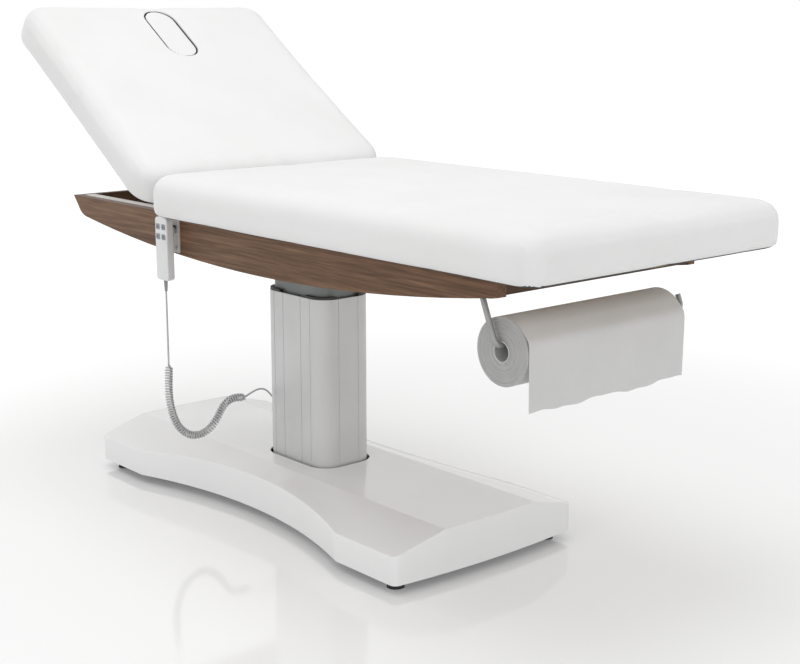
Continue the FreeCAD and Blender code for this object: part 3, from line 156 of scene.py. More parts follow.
TAIL_ROUTE = [
    (-0.298, -0.108, 0.260), (-0.2964, -0.0904, 0.268), (-0.296, -0.067, 0.273),
    (-0.297, -0.046, 0.263), (-0.298, -0.033, 0.247), (-0.296, -0.019, 0.231),
    (-0.287, -0.008, 0.218), (-0.268, -0.008, 0.218),
]
print("cord routes:", len(LEAD_ROUTE), "+", len(CURL_ROUTE), "+", len(TAIL_ROUTE), "places")


# %% [markdown]
# ### Winding the curls
# Even steps come first: *walk* goes along the loop's line and notes a place and a direction at each
# step. The helix keeps one side direction from step to step, so that it doesn't twist where the
# loop bends.
# %% Curls
def walk(line, step):
    """Evenly spaced places and directions along a line."""
    found = []
    due = 0.0
    gone = 0.0
    for start, end in zip(line, line[1:]):
        length = (end - start).length
        while length > 0 and due <= gone + length:
            found.append((start.lerp(end, (due - gone) / length), (end - start).normalized()))
            due += step
        gone += length
    return found, gone


def curled(route, pitch, steps, radius, swell):
    """Points of a helix round a smooth route, straight at both ends."""
    line = line_through(route, 24)
    wound = walk(line, 1.0)[1] - 2 * CORD_WIDTH
    turns = round(wound / pitch)
    stride = wound / (turns * steps)
    places, _ = walk(line, stride / STEPS_BETWEEN)
    side = places[0][1].cross(Vector((1, 0, 0))).normalized()
    points = [line[0]]
    for count, (middle, along) in enumerate(places):
        side = (side - along * side.dot(along)).normalized()
        run = count * stride / STEPS_BETWEEN - CORD_WIDTH
        if count % STEPS_BETWEEN or not 0 <= run <= wound:
            continue
        grown = min(run / swell, (wound - run) / swell, 1)
        reach = radius * grown * grown * (3 - 2 * grown)
        turn = 2 * math.pi * run / stride / steps
        points.append(middle + side * reach * math.cos(turn)
                      + along.cross(side) * reach * math.sin(turn))
    points.append(line[-1])
    return points, turns


curls, turns = curled(CURL_ROUTE, CURL_PITCH, STEPS_PER_TURN, CURL_RADIUS, CURL_SWELL)
print("curls:", turns, "turns,", len(curls), "points")

# %% [markdown]
# ### Two pieces
# The lead hangs between the handset and the first curl, and the curls and the tail follow it to the
# base.
# %% Cords
cord_lead, lead_line = tube_through("handset_lead", LEAD_ROUTE, CORD_WIDTH, 6)
curls_and_tail = curls + [Vector(place) for place in TAIL_ROUTE[1:]]
cord_curls, curl_line = tube_through("handset_curls", curls_and_tail, CORD_WIDTH, 2)
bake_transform(cord_lead)
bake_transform(cord_curls)


def length_of(line):
    """The length of a line of places."""
    return sum((b - a).length for a, b in zip(line, line[1:]))


for piece, nodes in ((cord_lead, ["cord_lead"]), (cord_curls, ["cord_curl", "cord_tail"])):
    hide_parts(*nodes)
print("lead %.3f m, curls and tail %.3f m" % (length_of(lead_line), length_of(curl_line)))

# %% [markdown]
# ## Building materials from nodes
# Every finish is a small tree of shader nodes. One helper adds a node and wires its sockets, so
# that each material below reads as a short list. Patterns read Object coordinates, which are metres
# here, so scales are per metre.
# %% Node helpers
def node(tree, kind, sockets=None, **settings):
    """Add one shader node, with its settings and with values or links for its sockets."""
    added = tree.nodes.new("ShaderNode" + kind)
    for name, value in settings.items():
        setattr(added, name, value)
    for name, value in (sockets or {}).items():
        if isinstance(value, bpy.types.NodeSocket):
            tree.links.new(value, added.inputs[name])
        else:
            added.inputs[name].default_value = value
    return added


def grey(value):
    """A neutral colour."""
    return (value, value, value, 1)


def new_group(name, inputs, outputs):
    """A node group with named sockets, and its two end nodes."""
    tree = bpy.data.node_groups.new(name, "ShaderNodeTree")
    for label, kind, value in inputs:
        socket = tree.interface.new_socket(label, in_out="INPUT",
                                           socket_type="NodeSocket" + kind)
        socket.default_value = value
    for label, kind in outputs:
        tree.interface.new_socket(label, in_out="OUTPUT", socket_type="NodeSocket" + kind)
    return tree, tree.nodes.new("NodeGroupInput"), tree.nodes.new("NodeGroupOutput")


def use_group(tree, group, sockets):
    """Place one of the shared groups in a material's tree."""
    return node(tree, "Group", sockets, node_tree=bpy.data.node_groups[group])


def blank_material(name, **values):
    """A material with one Principled BSDF, its fixed values set on its own sockets."""
    material = bpy.data.materials.new(name)
    material.use_nodes = True
    shader = material.node_tree.nodes["Principled BSDF"]
    for label, value in values.items():
        shader.inputs[label.replace("_", " ")].default_value = value
    return material, material.node_tree, shader


# %% [markdown]
# ### Shared effects
# Three groups serve most finishes. *Mottle* drifts between two tones and roughnesses, as dust and
# moulding flow do. *Pebble* is the cell pattern of coated fabric and powder paint. *Strokes* are
# long parallel marks, as on brushed or drawn metal and paper fibre.
# %% Shared node groups
tree, start, end = new_group(
    "mottle",
    [("Scale", "Float", 12.0), ("Tone", "Color", grey(0.5)), ("Shade", "Color", grey(0.4)),
     ("Smooth", "Float", 0.3), ("Rough", "Float", 0.5)],
    [("Color", "Color"), ("Roughness", "Float")])
where = node(tree, "TexCoord").outputs["Object"]
cloud = node(tree, "TexNoise", {"Vector": where, "Scale": start.outputs["Scale"], "Detail": 6.0,
                                "Roughness": 0.6})
spread = node(tree, "MapRange", {"Value": cloud.outputs["Fac"], "From Min": 0.3, "From Max": 0.7})
tone = node(tree, "Mix", {"Factor": spread.outputs["Result"]}, data_type="RGBA")
tree.links.new(start.outputs["Tone"], tone.inputs["A"])
tree.links.new(start.outputs["Shade"], tone.inputs["B"])
rough = node(tree, "MapRange", {"Value": cloud.outputs["Fac"], "From Min": 0.3, "From Max": 0.7,
                                "To Min": start.outputs["Smooth"],
                                "To Max": start.outputs["Rough"]})
tree.links.new(tone.outputs["Result"], end.inputs["Color"])
tree.links.new(rough.outputs["Result"], end.inputs["Roughness"])

tree, start, end = new_group("pebble", [("Scale", "Float", 900.0)], [("Height", "Float")])
where = node(tree, "TexCoord").outputs["Object"]
bend = node(tree, "TexNoise", {"Vector": where, "Scale": 260.0, "Detail": 2.0})
drift = node(tree, "VectorMath", {0: bend.outputs["Color"], 1: (0.0012, 0.0012, 0.0012)},
             operation="MULTIPLY")
moved = node(tree, "VectorMath", {0: where, 1: drift.outputs["Vector"]}, operation="ADD")
cells = node(tree, "TexVoronoi", {"Vector": moved.outputs["Vector"],
                                  "Scale": start.outputs["Scale"], "Smoothness": 0.6},
             feature="SMOOTH_F1")
tree.links.new(cells.outputs["Distance"], end.inputs["Height"])

tree, start, end = new_group(
    "strokes", [("Stretch", "Vector", (1, 1, 1)), ("Scale", "Float", 900.0)], [("Height", "Float")])
where = node(tree, "TexCoord").outputs["Object"]
pulled = node(tree, "VectorMath", {0: where, 1: start.outputs["Stretch"]}, operation="MULTIPLY")
marks = node(tree, "TexNoise", {"Vector": pulled.outputs["Vector"], "Scale": start.outputs["Scale"],
                                "Detail": 4.0, "Roughness": 0.65})
tree.links.new(marks.outputs["Fac"], end.inputs["Height"])
print("node groups:", [group.name for group in bpy.data.node_groups])

# %% [markdown]
# ### Plain finishes
# One recipe makes every finish but the walnut: a mottle of two close tones and two roughnesses, and
# a fine relief. *Pebble* gives the grain of the white synthetic leather, which is under a
# millimetre wide, of powder paint, rubber and moulded plastic. *Strokes* give brushed column, drawn
# steel, wood edge, card and paper.
# %% A recipe for plain finishes
ALONG_X, ALONG_Y, ALONG_Z = (0.02, 1, 1), (1, 0.02, 1), (1, 1, 0.02)
finish = {}


def pebble(scale):
    """The relief of coated fabric and powder paint."""
    return "pebble", {"Scale": scale}


def strokes(stretch, scale):
    """The relief of long parallel marks."""
    return "strokes", {"Stretch": stretch, "Scale": scale}


def plain_finish(name, tone, shade, smooth, rough, scale, relief, depth, strength, **values):
    """A mottled finish, with a relief from the pebble group or from stretched strokes."""
    material, tree, shader = blank_material(name, **values)
    soft = use_group(tree, "mottle", {"Scale": scale, "Tone": tone, "Shade": shade,
                                      "Smooth": smooth, "Rough": rough})
    tree.links.new(soft.outputs["Color"], shader.inputs["Base Color"])
    tree.links.new(soft.outputs["Roughness"], shader.inputs["Roughness"])
    pattern = use_group(tree, *relief)
    raised = node(tree, "Bump", {"Height": pattern.outputs["Height"], "Strength": strength,
                                 "Distance": depth})
    tree.links.new(raised.outputs["Normal"], shader.inputs["Normal"])
    finish[name] = material


print("reliefs:", pebble(1000.0)[0], strokes(ALONG_X, 1000.0)[0])

# %% [markdown]
# ### White cover, moulding and metals
# The pads wear a smooth matt synthetic leather, and its darker second tone stands for the faint
# soiling that white covers have. The moulded base has a thin clear coat, and the column is lightly
# brushed. Each row gives the two tones, the least and the most roughness and the scale of the
# mottle. The second line gives the relief, its depth in metres and its strength.
# %% Cover, moulding and metals
plain_finish("white_upholstery", grey(0.86), (0.83, 0.83, 0.825, 1), 0.46, 0.58, 5.0,
             pebble(1100.0), 0.00015, 0.25, Specular_IOR_Level=0.4)
plain_finish("plywood", (0.62, 0.47, 0.31, 1), (0.5, 0.36, 0.22, 1), 0.6, 0.75, 30.0,
             strokes(ALONG_X, 500.0), 0.0004, 0.5)
plain_finish("white_moulding", grey(0.95), grey(0.93), 0.16, 0.22, 3.0,
             strokes((1, 1, 1), 60.0), 0.0003, 0.06, Coat_Weight=0.4, Coat_Roughness=0.06)
plain_finish("column_silver", grey(0.68), grey(0.64), 0.34, 0.44, 6.0,
             strokes(ALONG_Z, 700.0), 0.0001, 0.25, Metallic=0.4)
# Painted shade: the upper column is the same brushed metal, made darker for the shade under the bed.
plain_finish("column_silver_painted_shade", (0.22, 0.235, 0.23, 1), (0.19, 0.205, 0.20, 1), 0.34, 0.44, 6.0,
             strokes(ALONG_Z, 700.0), 0.0001, 0.25, Metallic=0.4)
plain_finish("frame_silver", grey(0.84), grey(0.78), 0.42, 0.55, 14.0,
             pebble(1400.0), 0.0002, 0.3, Metallic=0.25)
plain_finish("dark_steel", grey(0.05), grey(0.035), 0.5, 0.65, 14.0,
             pebble(1400.0), 0.0002, 0.4)
plain_finish("zinc_steel", (0.62, 0.62, 0.60, 1), (0.5, 0.5, 0.47, 1), 0.28, 0.42, 60.0,
             strokes(ALONG_Z, 900.0), 0.0001, 0.3, Metallic=1.0)
plain_finish("rod_silver", grey(0.40), grey(0.34), 0.28, 0.38, 30.0,
             strokes(ALONG_Y, 1200.0), 0.0001, 0.25, Metallic=0.6)
print("finishes so far:", len(finish))

# %% [markdown]
# ### Rubber, plastics, paper and linings
# The handset's plastic is a light grey and its keys are darker. Paper is brighter than card. The
# roll's ends are painted darker than its side, as painted shade for the shade that falls on them.
# The groove round the face filler and the thin strip under each pad are painted near black, as
# painted shade where these recesses lie in shadow.
# %% Rubber, plastics, paper and linings
plain_finish("black_rubber", grey(0.03), grey(0.045), 0.7, 0.85, 40.0,
             pebble(2200.0), 0.0003, 0.3)
plain_finish("black_plastic", grey(0.035), grey(0.05), 0.45, 0.6, 30.0,
             pebble(2400.0), 0.0002, 0.3)
plain_finish("grey_plastic", (0.82, 0.825, 0.83, 1), (0.79, 0.795, 0.80, 1), 0.38, 0.5, 30.0,
             pebble(2600.0), 0.0001, 0.25)
plain_finish("button_grey", (0.33, 0.34, 0.36, 1), (0.28, 0.29, 0.31, 1), 0.5, 0.62, 60.0,
             pebble(3000.0), 0.0001, 0.25)
plain_finish("cord_grey", (0.58, 0.585, 0.59, 1), (0.52, 0.525, 0.53, 1), 0.35, 0.5, 40.0,
             pebble(2600.0), 0.0001, 0.2)
plain_finish("circuit_green", (0.03, 0.18, 0.08, 1), (0.02, 0.12, 0.05, 1), 0.3, 0.45, 80.0,
             strokes(ALONG_Z, 300.0), 0.0002, 0.4)
plain_finish("paper_white", grey(0.70), grey(0.665), 0.75, 0.88, 9.0,
             strokes((0.6, 1, 0.6), 420.0), 0.0003, 0.35)
plain_finish("paper_ends_painted_shade", grey(0.50), grey(0.44), 0.8, 0.9, 30.0,
             strokes(ALONG_Y, 900.0), 0.0003, 0.4)
plain_finish("underside_painted_shadow", grey(0.07), grey(0.05), 0.8, 0.9, 40.0,
             pebble(1400.0), 0.0003, 0.4)
plain_finish("groove_painted_shade", grey(0.10), grey(0.07), 0.8, 0.9, 40.0,
             pebble(1800.0), 0.0003, 0.4)
plain_finish("card_grey", (0.62, 0.62, 0.61, 1), (0.55, 0.55, 0.54, 1), 0.8, 0.9, 40.0,
             strokes(ALONG_Y, 400.0), 0.0003, 0.4)
print("plain finishes:", len(finish))

# %% [markdown]
# ### Walnut
# The frame is clad in walnut veneer whose grain runs along each board. Broad bands bend slowly
# along the grain, short dark pores lie in it, and a satin varnish fills most of them. The
# coordinates are squeezed along the grain before they reach the noise, and that stretches every
# feature into a streak.
# %% Walnut
WALNUT_TONES = ((0.070, 0.035, 0.020), (0.150, 0.083, 0.048), (0.27, 0.158, 0.094))


def walnut_finish(name, squeeze, light):
    """Walnut veneer, grain along the squeezed axis; a light below 1 darkens it as painted shade."""
    material, tree, shader = blank_material(name, Coat_Weight=0.04, Coat_Roughness=0.3,
                                            Specular_IOR_Level=0.22)
    where = node(tree, "TexCoord").outputs["Object"]
    pulled = node(tree, "VectorMath", {0: where, 1: squeeze}, operation="MULTIPLY")
    grain = pulled.outputs["Vector"]
    bands = node(tree, "TexNoise", {"Vector": grain, "Scale": 30.0, "Detail": 4.0,
                                    "Roughness": 0.55, "Distortion": 0.9})
    streaks = node(tree, "TexNoise", {"Vector": grain, "Scale": 170.0, "Detail": 3.0,
                                      "Roughness": 0.6, "Distortion": 0.5})
    fibre = node(tree, "TexNoise", {"Vector": grain, "Scale": 520.0, "Detail": 3.0})
    mixed = node(tree, "Mix", {"Factor": 0.6, "A": bands.outputs["Fac"],
                               "B": streaks.outputs["Fac"]})
    woven = node(tree, "Mix", {"Factor": 0.2, "A": mixed.outputs["Result"],
                               "B": fibre.outputs["Fac"]})
    ramp = node(tree, "ValToRGB", {"Fac": woven.outputs["Result"]})
    stops = ramp.color_ramp.elements
    stops[0].position, stops[1].position = 0.36, 0.66
    stops.new(0.5)
    for stop, (red, green, blue) in zip(stops, WALNUT_TONES):
        stop.color = (red * light, green * light, blue * light, 1)
    tree.links.new(ramp.outputs["Color"], shader.inputs["Base Color"])
    rough = node(tree, "MapRange", {"Value": fibre.outputs["Fac"], "To Min": 0.36, "To Max": 0.56})
    tree.links.new(rough.outputs["Result"], shader.inputs["Roughness"])
    raised = node(tree, "Bump", {"Height": fibre.outputs["Fac"], "Strength": 0.25,
                                 "Distance": 0.0002})
    tree.links.new(raised.outputs["Normal"], shader.inputs["Normal"])
    return material


finish["walnut"] = walnut_finish("walnut_along", (0.03, 1, 1), 1.0)
# The end boards' walnut has its grain across the bed, and its tones are cut to 0.45 as painted shade
# for their shaded end faces.
finish["walnut_across_painted_shade"] = walnut_finish("walnut_across_painted_shade", (1, 0.03, 1), 0.45)
print("walnut:", finish["walnut"].name, finish["walnut_across_painted_shade"].name)

# %% [markdown]
# ### Painting the skeleton
# The CAD record names a finish for every piece. A few pieces differ from it: the two end boards
# have their grain across the bed and a darker walnut, painted shade for their shaded end faces;
# the upper column is the same metal made darker, painted shade for the shade under the bed; and the
# cord's sleeve is as dark as the keys.
# %% Painting the skeleton
OWN_FINISH = {"skirt_head": "walnut_across_painted_shade", "skirt_foot": "walnut_across_painted_shade",
              "column_inner": "column_silver_painted_shade", "strain_relief": "button_grey"}


def paint(piece, name):
    """Give a piece one finish in all its material slots."""
    if not piece.material_slots:
        piece.data.materials.append(finish[name])
    for place in piece.material_slots:
        place.material = finish[name]


for name, thing in frame["nodes"].items():
    paint(thing, OWN_FINISH.get(name, slot_of_node[name]))
for thing in (cord_lead, cord_curls):
    paint(thing, "cord_grey")
print("finishes:", len(finish))

# %% [markdown]
# ## Small mesh tools
# Every new piece starts as a bmesh shape. The first helpers turn a finished bmesh into an object,
# give it smooth faces with crisp edges, and hand it its finish and the body that it rides on.
# %% Mesh helpers
def finish_piece(shape, name, finish_name=None, body=None, sharp=40):
    """Make a bmesh an object with smooth faces and crisp edges, painted and riding on a body."""
    bmesh.ops.recalc_face_normals(shape, faces=shape.faces)
    piece = bpy.data.objects.new(name, bpy.data.meshes.new(name))
    shape.to_mesh(piece.data)
    shape.free()
    scene.collection.objects.link(piece)
    smooth_over(piece, sharp)
    if finish_name:
        paint(piece, finish_name)
    if body:
        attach(piece, body)
    return piece


def smooth_over(piece, sharp=40):
    """Smooth faces, with every edge above an angle left crisp."""
    piece.data.shade_smooth()
    piece.data.set_sharp_from_angle(angle=math.radians(sharp))


# %% [markdown]
# ### Edges, rounding, boxes and cuts
# A bevel needs its edges picked: by the height of their middle, and by whether they stand upright
# or lie level.
# %% Edge and solid helpers
def middle_of(edge):
    """The middle of an edge."""
    return (edge.verts[0].co + edge.verts[1].co) / 2


def is_upright(edge):
    """Whether an edge stands upright, or nearly so."""
    run = edge.verts[1].co - edge.verts[0].co
    return abs(run.z) > 0.9 * run.length


def is_level(edge):
    """Whether both ends of an edge are at one height."""
    return abs(edge.verts[1].co.z - edge.verts[0].co.z) < 1e-6


def round_edges(shape, edges, radius, segments, clamp=False):
    """Round edges with a bevel of a few segments."""
    bmesh.ops.bevel(shape, geom=edges, offset=radius, segments=segments, profile=0.5,
                    affect="EDGES", material=-1, clamp_overlap=clamp)


def block(shape, low, high):
    """Add a box between two corners to a bmesh."""
    low, high = Vector(low), Vector(high)
    made = bmesh.ops.create_cube(shape, size=1)["verts"]
    bmesh.ops.scale(shape, vec=high - low, verts=made)
    bmesh.ops.translate(shape, vec=(low + high) / 2, verts=made)


def settle(piece):
    """Apply a piece's modifiers and keep its materials."""
    flat = as_mesh(piece)
    piece.modifiers.clear()
    piece.data = flat


def cut_away(piece, tools):
    """Cut a bmesh of closed shapes out of a piece, and leave a plain mesh."""
    bmesh.ops.recalc_face_normals(tools, faces=tools.faces)
    cutter = bpy.data.objects.new("cutter", bpy.data.meshes.new("cutter"))
    tools.to_mesh(cutter.data)
    tools.free()
    scene.collection.objects.link(cutter)
    step = piece.modifiers.new("cut", "BOOLEAN")
    step.operation = "DIFFERENCE"
    step.solver = "MANIFOLD"
    step.object = cutter
    settle(piece)
    bpy.data.objects.remove(cutter)


# %% [markdown]
# ## The pads
# Seat and backrest are thick foam blocks in tight synthetic leather. Their edges are round all the
# way along, and the foam pushes the cover out a little more in the middle of each face than near an
# edge. A block with rounded edges gives the cut foam. Cloth with a little air pressure inside then
# swells it, as foam swells its cover, and a cap keeps every point within a few millimetres of the
# cut shape.
# %% Foam blocks
FOAM_HALF, COVER_HALF = 0.371, 0.375


def foam_block(x, y, z, corner, top_edge, low_edge):
    """A block with round upright corners and round upper and lower rims."""
    shape = bmesh.new()
    block(shape, (x[0], y[0], z[0]), (x[1], y[1], z[1]))
    round_edges(shape, [edge for edge in shape.edges if is_upright(edge)], corner, 8)
    for height, radius, steps in ((z[1], top_edge, 8), (z[0], low_edge, 6)):
        rim = [edge for edge in shape.edges
               if is_level(edge) and abs(middle_of(edge).z - height) < 1e-6]
        round_edges(shape, rim, radius, steps)
    return shape


print("cut foam %.3f m wide, covered %.3f m" % (2 * FOAM_HALF, 2 * COVER_HALF))

# %% [markdown]
# ### Swelling a pad
# A voxel remesh gives even faces, and Cloth blows them up for twenty frames. The cap is a soft one:
# a hyperbolic tangent lets small moves through and bends large ones towards the limit. One level of
# subdivision smooths the result, and it is stretched by a hair so that its box is that of the
# covered pad.
# %% Swelling
AIR_FRAMES = 20
AIR_PRESSURE = 1.0
SWELL = 0.005


def swell(piece, voxel, cap, low, high):
    """Swell a padded piece, cap how far each point moves, smooth it and fit it to a box."""
    remesh = piece.modifiers.new("even faces", "REMESH")
    remesh.mode = "VOXEL"
    remesh.voxel_size = voxel
    settle(piece)
    cut = [corner.co.copy() for corner in piece.data.vertices]
    cloth = piece.modifiers.new("air", "CLOTH")
    cloth.settings.quality = 5
    cloth.settings.mass = 0.3
    cloth.settings.tension_stiffness = 25
    cloth.settings.compression_stiffness = 25
    cloth.settings.shear_stiffness = 12
    cloth.settings.bending_stiffness = 2
    cloth.settings.use_pressure = True
    cloth.settings.uniform_pressure_force = AIR_PRESSURE
    cloth.settings.effector_weights.gravity = 0
    cloth.point_cache.frame_start = 1
    cloth.point_cache.frame_end = AIR_FRAMES
    for moment in range(1, AIR_FRAMES + 1):
        scene.frame_set(moment)
    settle(piece)
    scene.frame_set(1)
    furthest = 0.0
    for corner, start in zip(piece.data.vertices, cut):
        push = corner.co - start
        furthest = max(furthest, push.length)
        if push.length > 1e-9:
            corner.co = start + push.normalized() * cap * math.tanh(push.length / cap)
        # Nothing sinks below the cut foam, so the underside stays flat.
        corner.co.z = max(corner.co.z, start.z) if push.z < 0 else corner.co.z
    finer = piece.modifiers.new("finer", "SUBSURF")
    finer.levels = finer.render_levels = 1
    settle(piece)
    fit(piece, low, high)
    return furthest


def fit(piece, low, high):
    """Stretch a piece a little, so that its box has two given corners."""
    spots = [corner.co for corner in piece.data.vertices]
    for axis in range(3):
        least = min(spot[axis] for spot in spots)
        most = max(spot[axis] for spot in spots)
        share = (high[axis] - low[axis]) / (most - least)
        for spot in spots:
            spot[axis] = low[axis] + (spot[axis] - least) * share


def paint_underside_shadow(piece, upright):
    """Paint a pad's downward faces near black, as painted shadow under its rim."""
    piece.data.materials.append(finish["underside_painted_shadow"])
    for face in piece.data.polygons:
        if (upright @ face.normal).z < -0.8:
            face.material_index = len(piece.data.materials) - 1


print("air for", AIR_FRAMES, "frames, at most %.1f mm out" % (SWELL * 1000))

# %% [markdown]
# ### Seat pad
# The long pad lies on its plywood board and overhangs the walnut frame. Its underside has a shallow
# recess for that board, and two notches at its head end leave room for the backrest's hinges. Its
# downward faces are painted near black, as painted shadow under the overhanging rim.
# %% Seat pad
BOARD_HALF = 0.3453
HINGE_NEAR, HINGE_FAR = 0.226, 0.252

shape = foam_block((-0.306, 0.947), (-FOAM_HALF, FOAM_HALF), (0.7395, 0.836),
                   corner=0.044, top_edge=0.040, low_edge=0.016)
seat_pad = finish_piece(shape, "seat_pad")
furthest = swell(seat_pad, 0.011, SWELL, (-0.310, -COVER_HALF, 0.7392), (0.951, COVER_HALF, 0.8415))
tools = bmesh.new()
block(tools, (-0.2803, -BOARD_HALF, 0.70), (0.9213, BOARD_HALF, 0.7543))
for side in (-1, 1):
    block(tools, (-0.36, side * HINGE_NEAR, 0.70), (-0.284, side * HINGE_FAR, 0.8215))
cut_away(seat_pad, tools)
smooth_over(seat_pad)
paint(seat_pad, "white_upholstery")
# Painted shadow: the seat pad's downward faces are near black.
paint_underside_shadow(seat_pad, Matrix.Identity(3))
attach(seat_pad, "lift")
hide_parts("seat_cushion")
print("seat pad:", len(seat_pad.data.polygons), "faces, pushed by up to %.1f mm"
      % (furthest * 1000))

# %% [markdown]
# ### The face hole
# The hole and its filler are stadiums: straight sides and round ends. One outline drawn flat and
# raised serves for both. The hole's walls and the filler's side are painted near black below the
# rim, as painted shade in the groove round the filler. The pad is made lying flat about its hinge,
# so the test for the painted shade turns each face back to that place.
# %% Face hole helpers
PIVOT = Vector((-0.3135, 0, 0.810))
BACK_ANGLE = 33.9
TILTED = Matrix.Translation(PIVOT) @ Matrix.Rotation(math.radians(BACK_ANGLE), 4, "Y")
HOLE_MIDDLE = -0.5755
HOLE_STRAIGHT = 0.058
SHADE_REACH = 0.0485


def stadium(shape, middle, length, width, z):
    """A face with straight sides and round ends, long along X."""
    points = []
    for side in (1, -1):
        start = shape.verts.new((middle + side * (length - width) / 2, -side * width / 2, z))
        arc = bmesh.ops.spin(shape, geom=[start], cent=(middle + side * (length - width) / 2, 0, z),
                             axis=(0, 0, 1), angle=math.pi, steps=24, use_merge=False)
        points.append((start, arc["geom_last"][0]))
    shape.edges.new((points[0][1], points[1][0]))
    shape.edges.new((points[1][1], points[0][0]))
    return bmesh.ops.contextual_create(shape, geom=shape.edges[:])["faces"][0]


def raise_face(shape, face, height):
    """Push a face up and give the new one."""
    made = bmesh.ops.extrude_face_region(shape, geom=[face])["geom"]
    top = [part for part in made if isinstance(part, bmesh.types.BMFace)][0]
    bmesh.ops.translate(shape, vec=(0, 0, height), verts=top.verts)
    return top


def shade_hole_walls(piece, top):
    """Paint the face hole's walls, or the filler's side, near black below the rim, as painted shade.
    """
    piece.data.materials.append(finish["groove_painted_shade"])
    flat = TILTED.inverted()
    for face in piece.data.polygons:
        middle = flat @ face.center
        across = flat.to_3x3() @ face.normal
        along = max(abs(middle.x - HOLE_MIDDLE) - HOLE_STRAIGHT, 0)
        near = math.hypot(along, middle.y) < SHADE_REACH
        if near and abs(across.z) < 0.8 and middle.z < top:
            face.material_index = 1


print("face hole", HOLE_MIDDLE, "m from the hinge")

# %% [markdown]
# ### Backrest pad
# This pad is made lying flat and then turned up by the angle that the photograph shows. The face
# hole goes right through it, and its rim opens out a little at the top, where the cover is pulled
# over the edge of the foam.
# %% Backrest pad
HOLE_LENGTH, HOLE_WIDTH = 0.2098, 0.0938
LOW_SIDE = -0.12
FLARE = (1 + 0.003 / 0.21, 1 + 0.003 / 0.094, 1)

shape = foam_block((-0.7265, -0.0075), (-FOAM_HALF, FOAM_HALF), (-0.0705, 0.026),
                   corner=0.064, top_edge=0.042, low_edge=0.014)
backrest_pad = finish_piece(shape, "backrest_pad")
furthest = swell(backrest_pad, 0.010, SWELL,
                 (-0.7305, -COVER_HALF, -0.0708), (-0.0035, COVER_HALF, 0.0315))
tools = bmesh.new()
hole = stadium(tools, HOLE_MIDDLE, HOLE_LENGTH, HOLE_WIDTH, LOW_SIDE)
wall_top = raise_face(tools, hole, 0.0285 - LOW_SIDE)
flare = raise_face(tools, wall_top, 0.005)
bmesh.ops.delete(tools, geom=[wall_top], context="FACES_ONLY")
bmesh.ops.translate(tools, vec=(-HOLE_MIDDLE, 0, 0), verts=flare.verts)
bmesh.ops.scale(tools, vec=FLARE, verts=flare.verts)
bmesh.ops.translate(tools, vec=(HOLE_MIDDLE, 0, 0), verts=flare.verts)
cut_away(backrest_pad, tools)
tools = bmesh.new()
block(tools, (-0.7008, -BOARD_HALF, LOW_SIDE), (-0.0332, BOARD_HALF, -0.0557))
cut_away(backrest_pad, tools)
tools = bmesh.new()
for side in (-1, 1):
    block(tools, (-0.0338, side * HINGE_NEAR, LOW_SIDE), (0.02, side * HINGE_FAR, 0.0115))
cut_away(backrest_pad, tools)
backrest_pad.data.transform(TILTED)
smooth_over(backrest_pad, 32)
paint(backrest_pad, "white_upholstery")
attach(backrest_pad, "backrest")
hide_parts("backrest_cushion")
# Painted shade on the walls of the face hole.
shade_hole_walls(backrest_pad, 0.029)
# Painted shadow: the backrest pad's downward faces are near black.
paint_underside_shadow(backrest_pad, TILTED.inverted().to_3x3())
print("backrest pad:", len(backrest_pad.data.polygons), "faces, pushed by up to %.1f mm"
      % (furthest * 1000))

# %% [markdown]
# ### Face hole filler
# A small pad of its own closes the face hole and lifts out. It is the same foam and cover, cut a
# hair smaller, so its round rim and the rim of the hole make a groove between them.
# %% Filler pad
FILLER_LOW, FILLER_TOP = -0.0555, 0.0312
FILLER_HALF_X, FILLER_HALF_Y = 0.1030, 0.0450

shape = bmesh.new()
lid = raise_face(shape, stadium(shape, HOLE_MIDDLE, 0.2052, 0.0892, FILLER_LOW), 0.0845)
round_edges(shape, lid.edges[:], 0.003, 3)
filler = finish_piece(shape, "face_filler")
swell(filler, 0.0035, 0.0015, (HOLE_MIDDLE - FILLER_HALF_X, -FILLER_HALF_Y, FILLER_LOW),
      (HOLE_MIDDLE + FILLER_HALF_X, FILLER_HALF_Y, FILLER_TOP))
filler.data.transform(TILTED)
smooth_over(filler, 60)
paint(filler, "white_upholstery")
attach(filler, "plug")
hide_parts("face_plug")
shade_hole_walls(filler, 0.0304)
print("filler:", len(filler.data.polygons), "faces")

# %% [markdown]
# ## The floor base
# One moulded shell covers the base. In plan its long sides are drawn in with a wide arc and its
# ends bow out; in section a flat middle falls away to both sides. So the plan is drawn first, by
# spinning single points into arcs, and raised to a block. Three cuts give the flat and the two
# slopes, and bevels soften every ridge so that it catches the light as moulded plastic does.
# %% Plan of the base cover
BASE_X = -0.140
RIM_Z, EDGE_Z, TOP_Z = 0.022, 0.087, 0.123
SIDE_X, END_X, BOW_X = 0.410, 0.609, 0.625
SIDE_Y, WAIST_Y, FLAT_Y = 0.274, 0.203, 0.139
WAIST_DEPTH, BOW = 0.071, 0.016


def arc_from(shape, start, middle, angle, steps):
    """A chain of edges from a point, turned about a middle, and its two end vertices."""
    first = shape.verts.new((*start, RIM_Z))
    made = bmesh.ops.spin(shape, geom=[first], cent=(*middle, RIM_Z), axis=(0, 0, 1),
                          angle=angle, steps=steps, use_merge=False)
    return first, made["geom_last"][0]


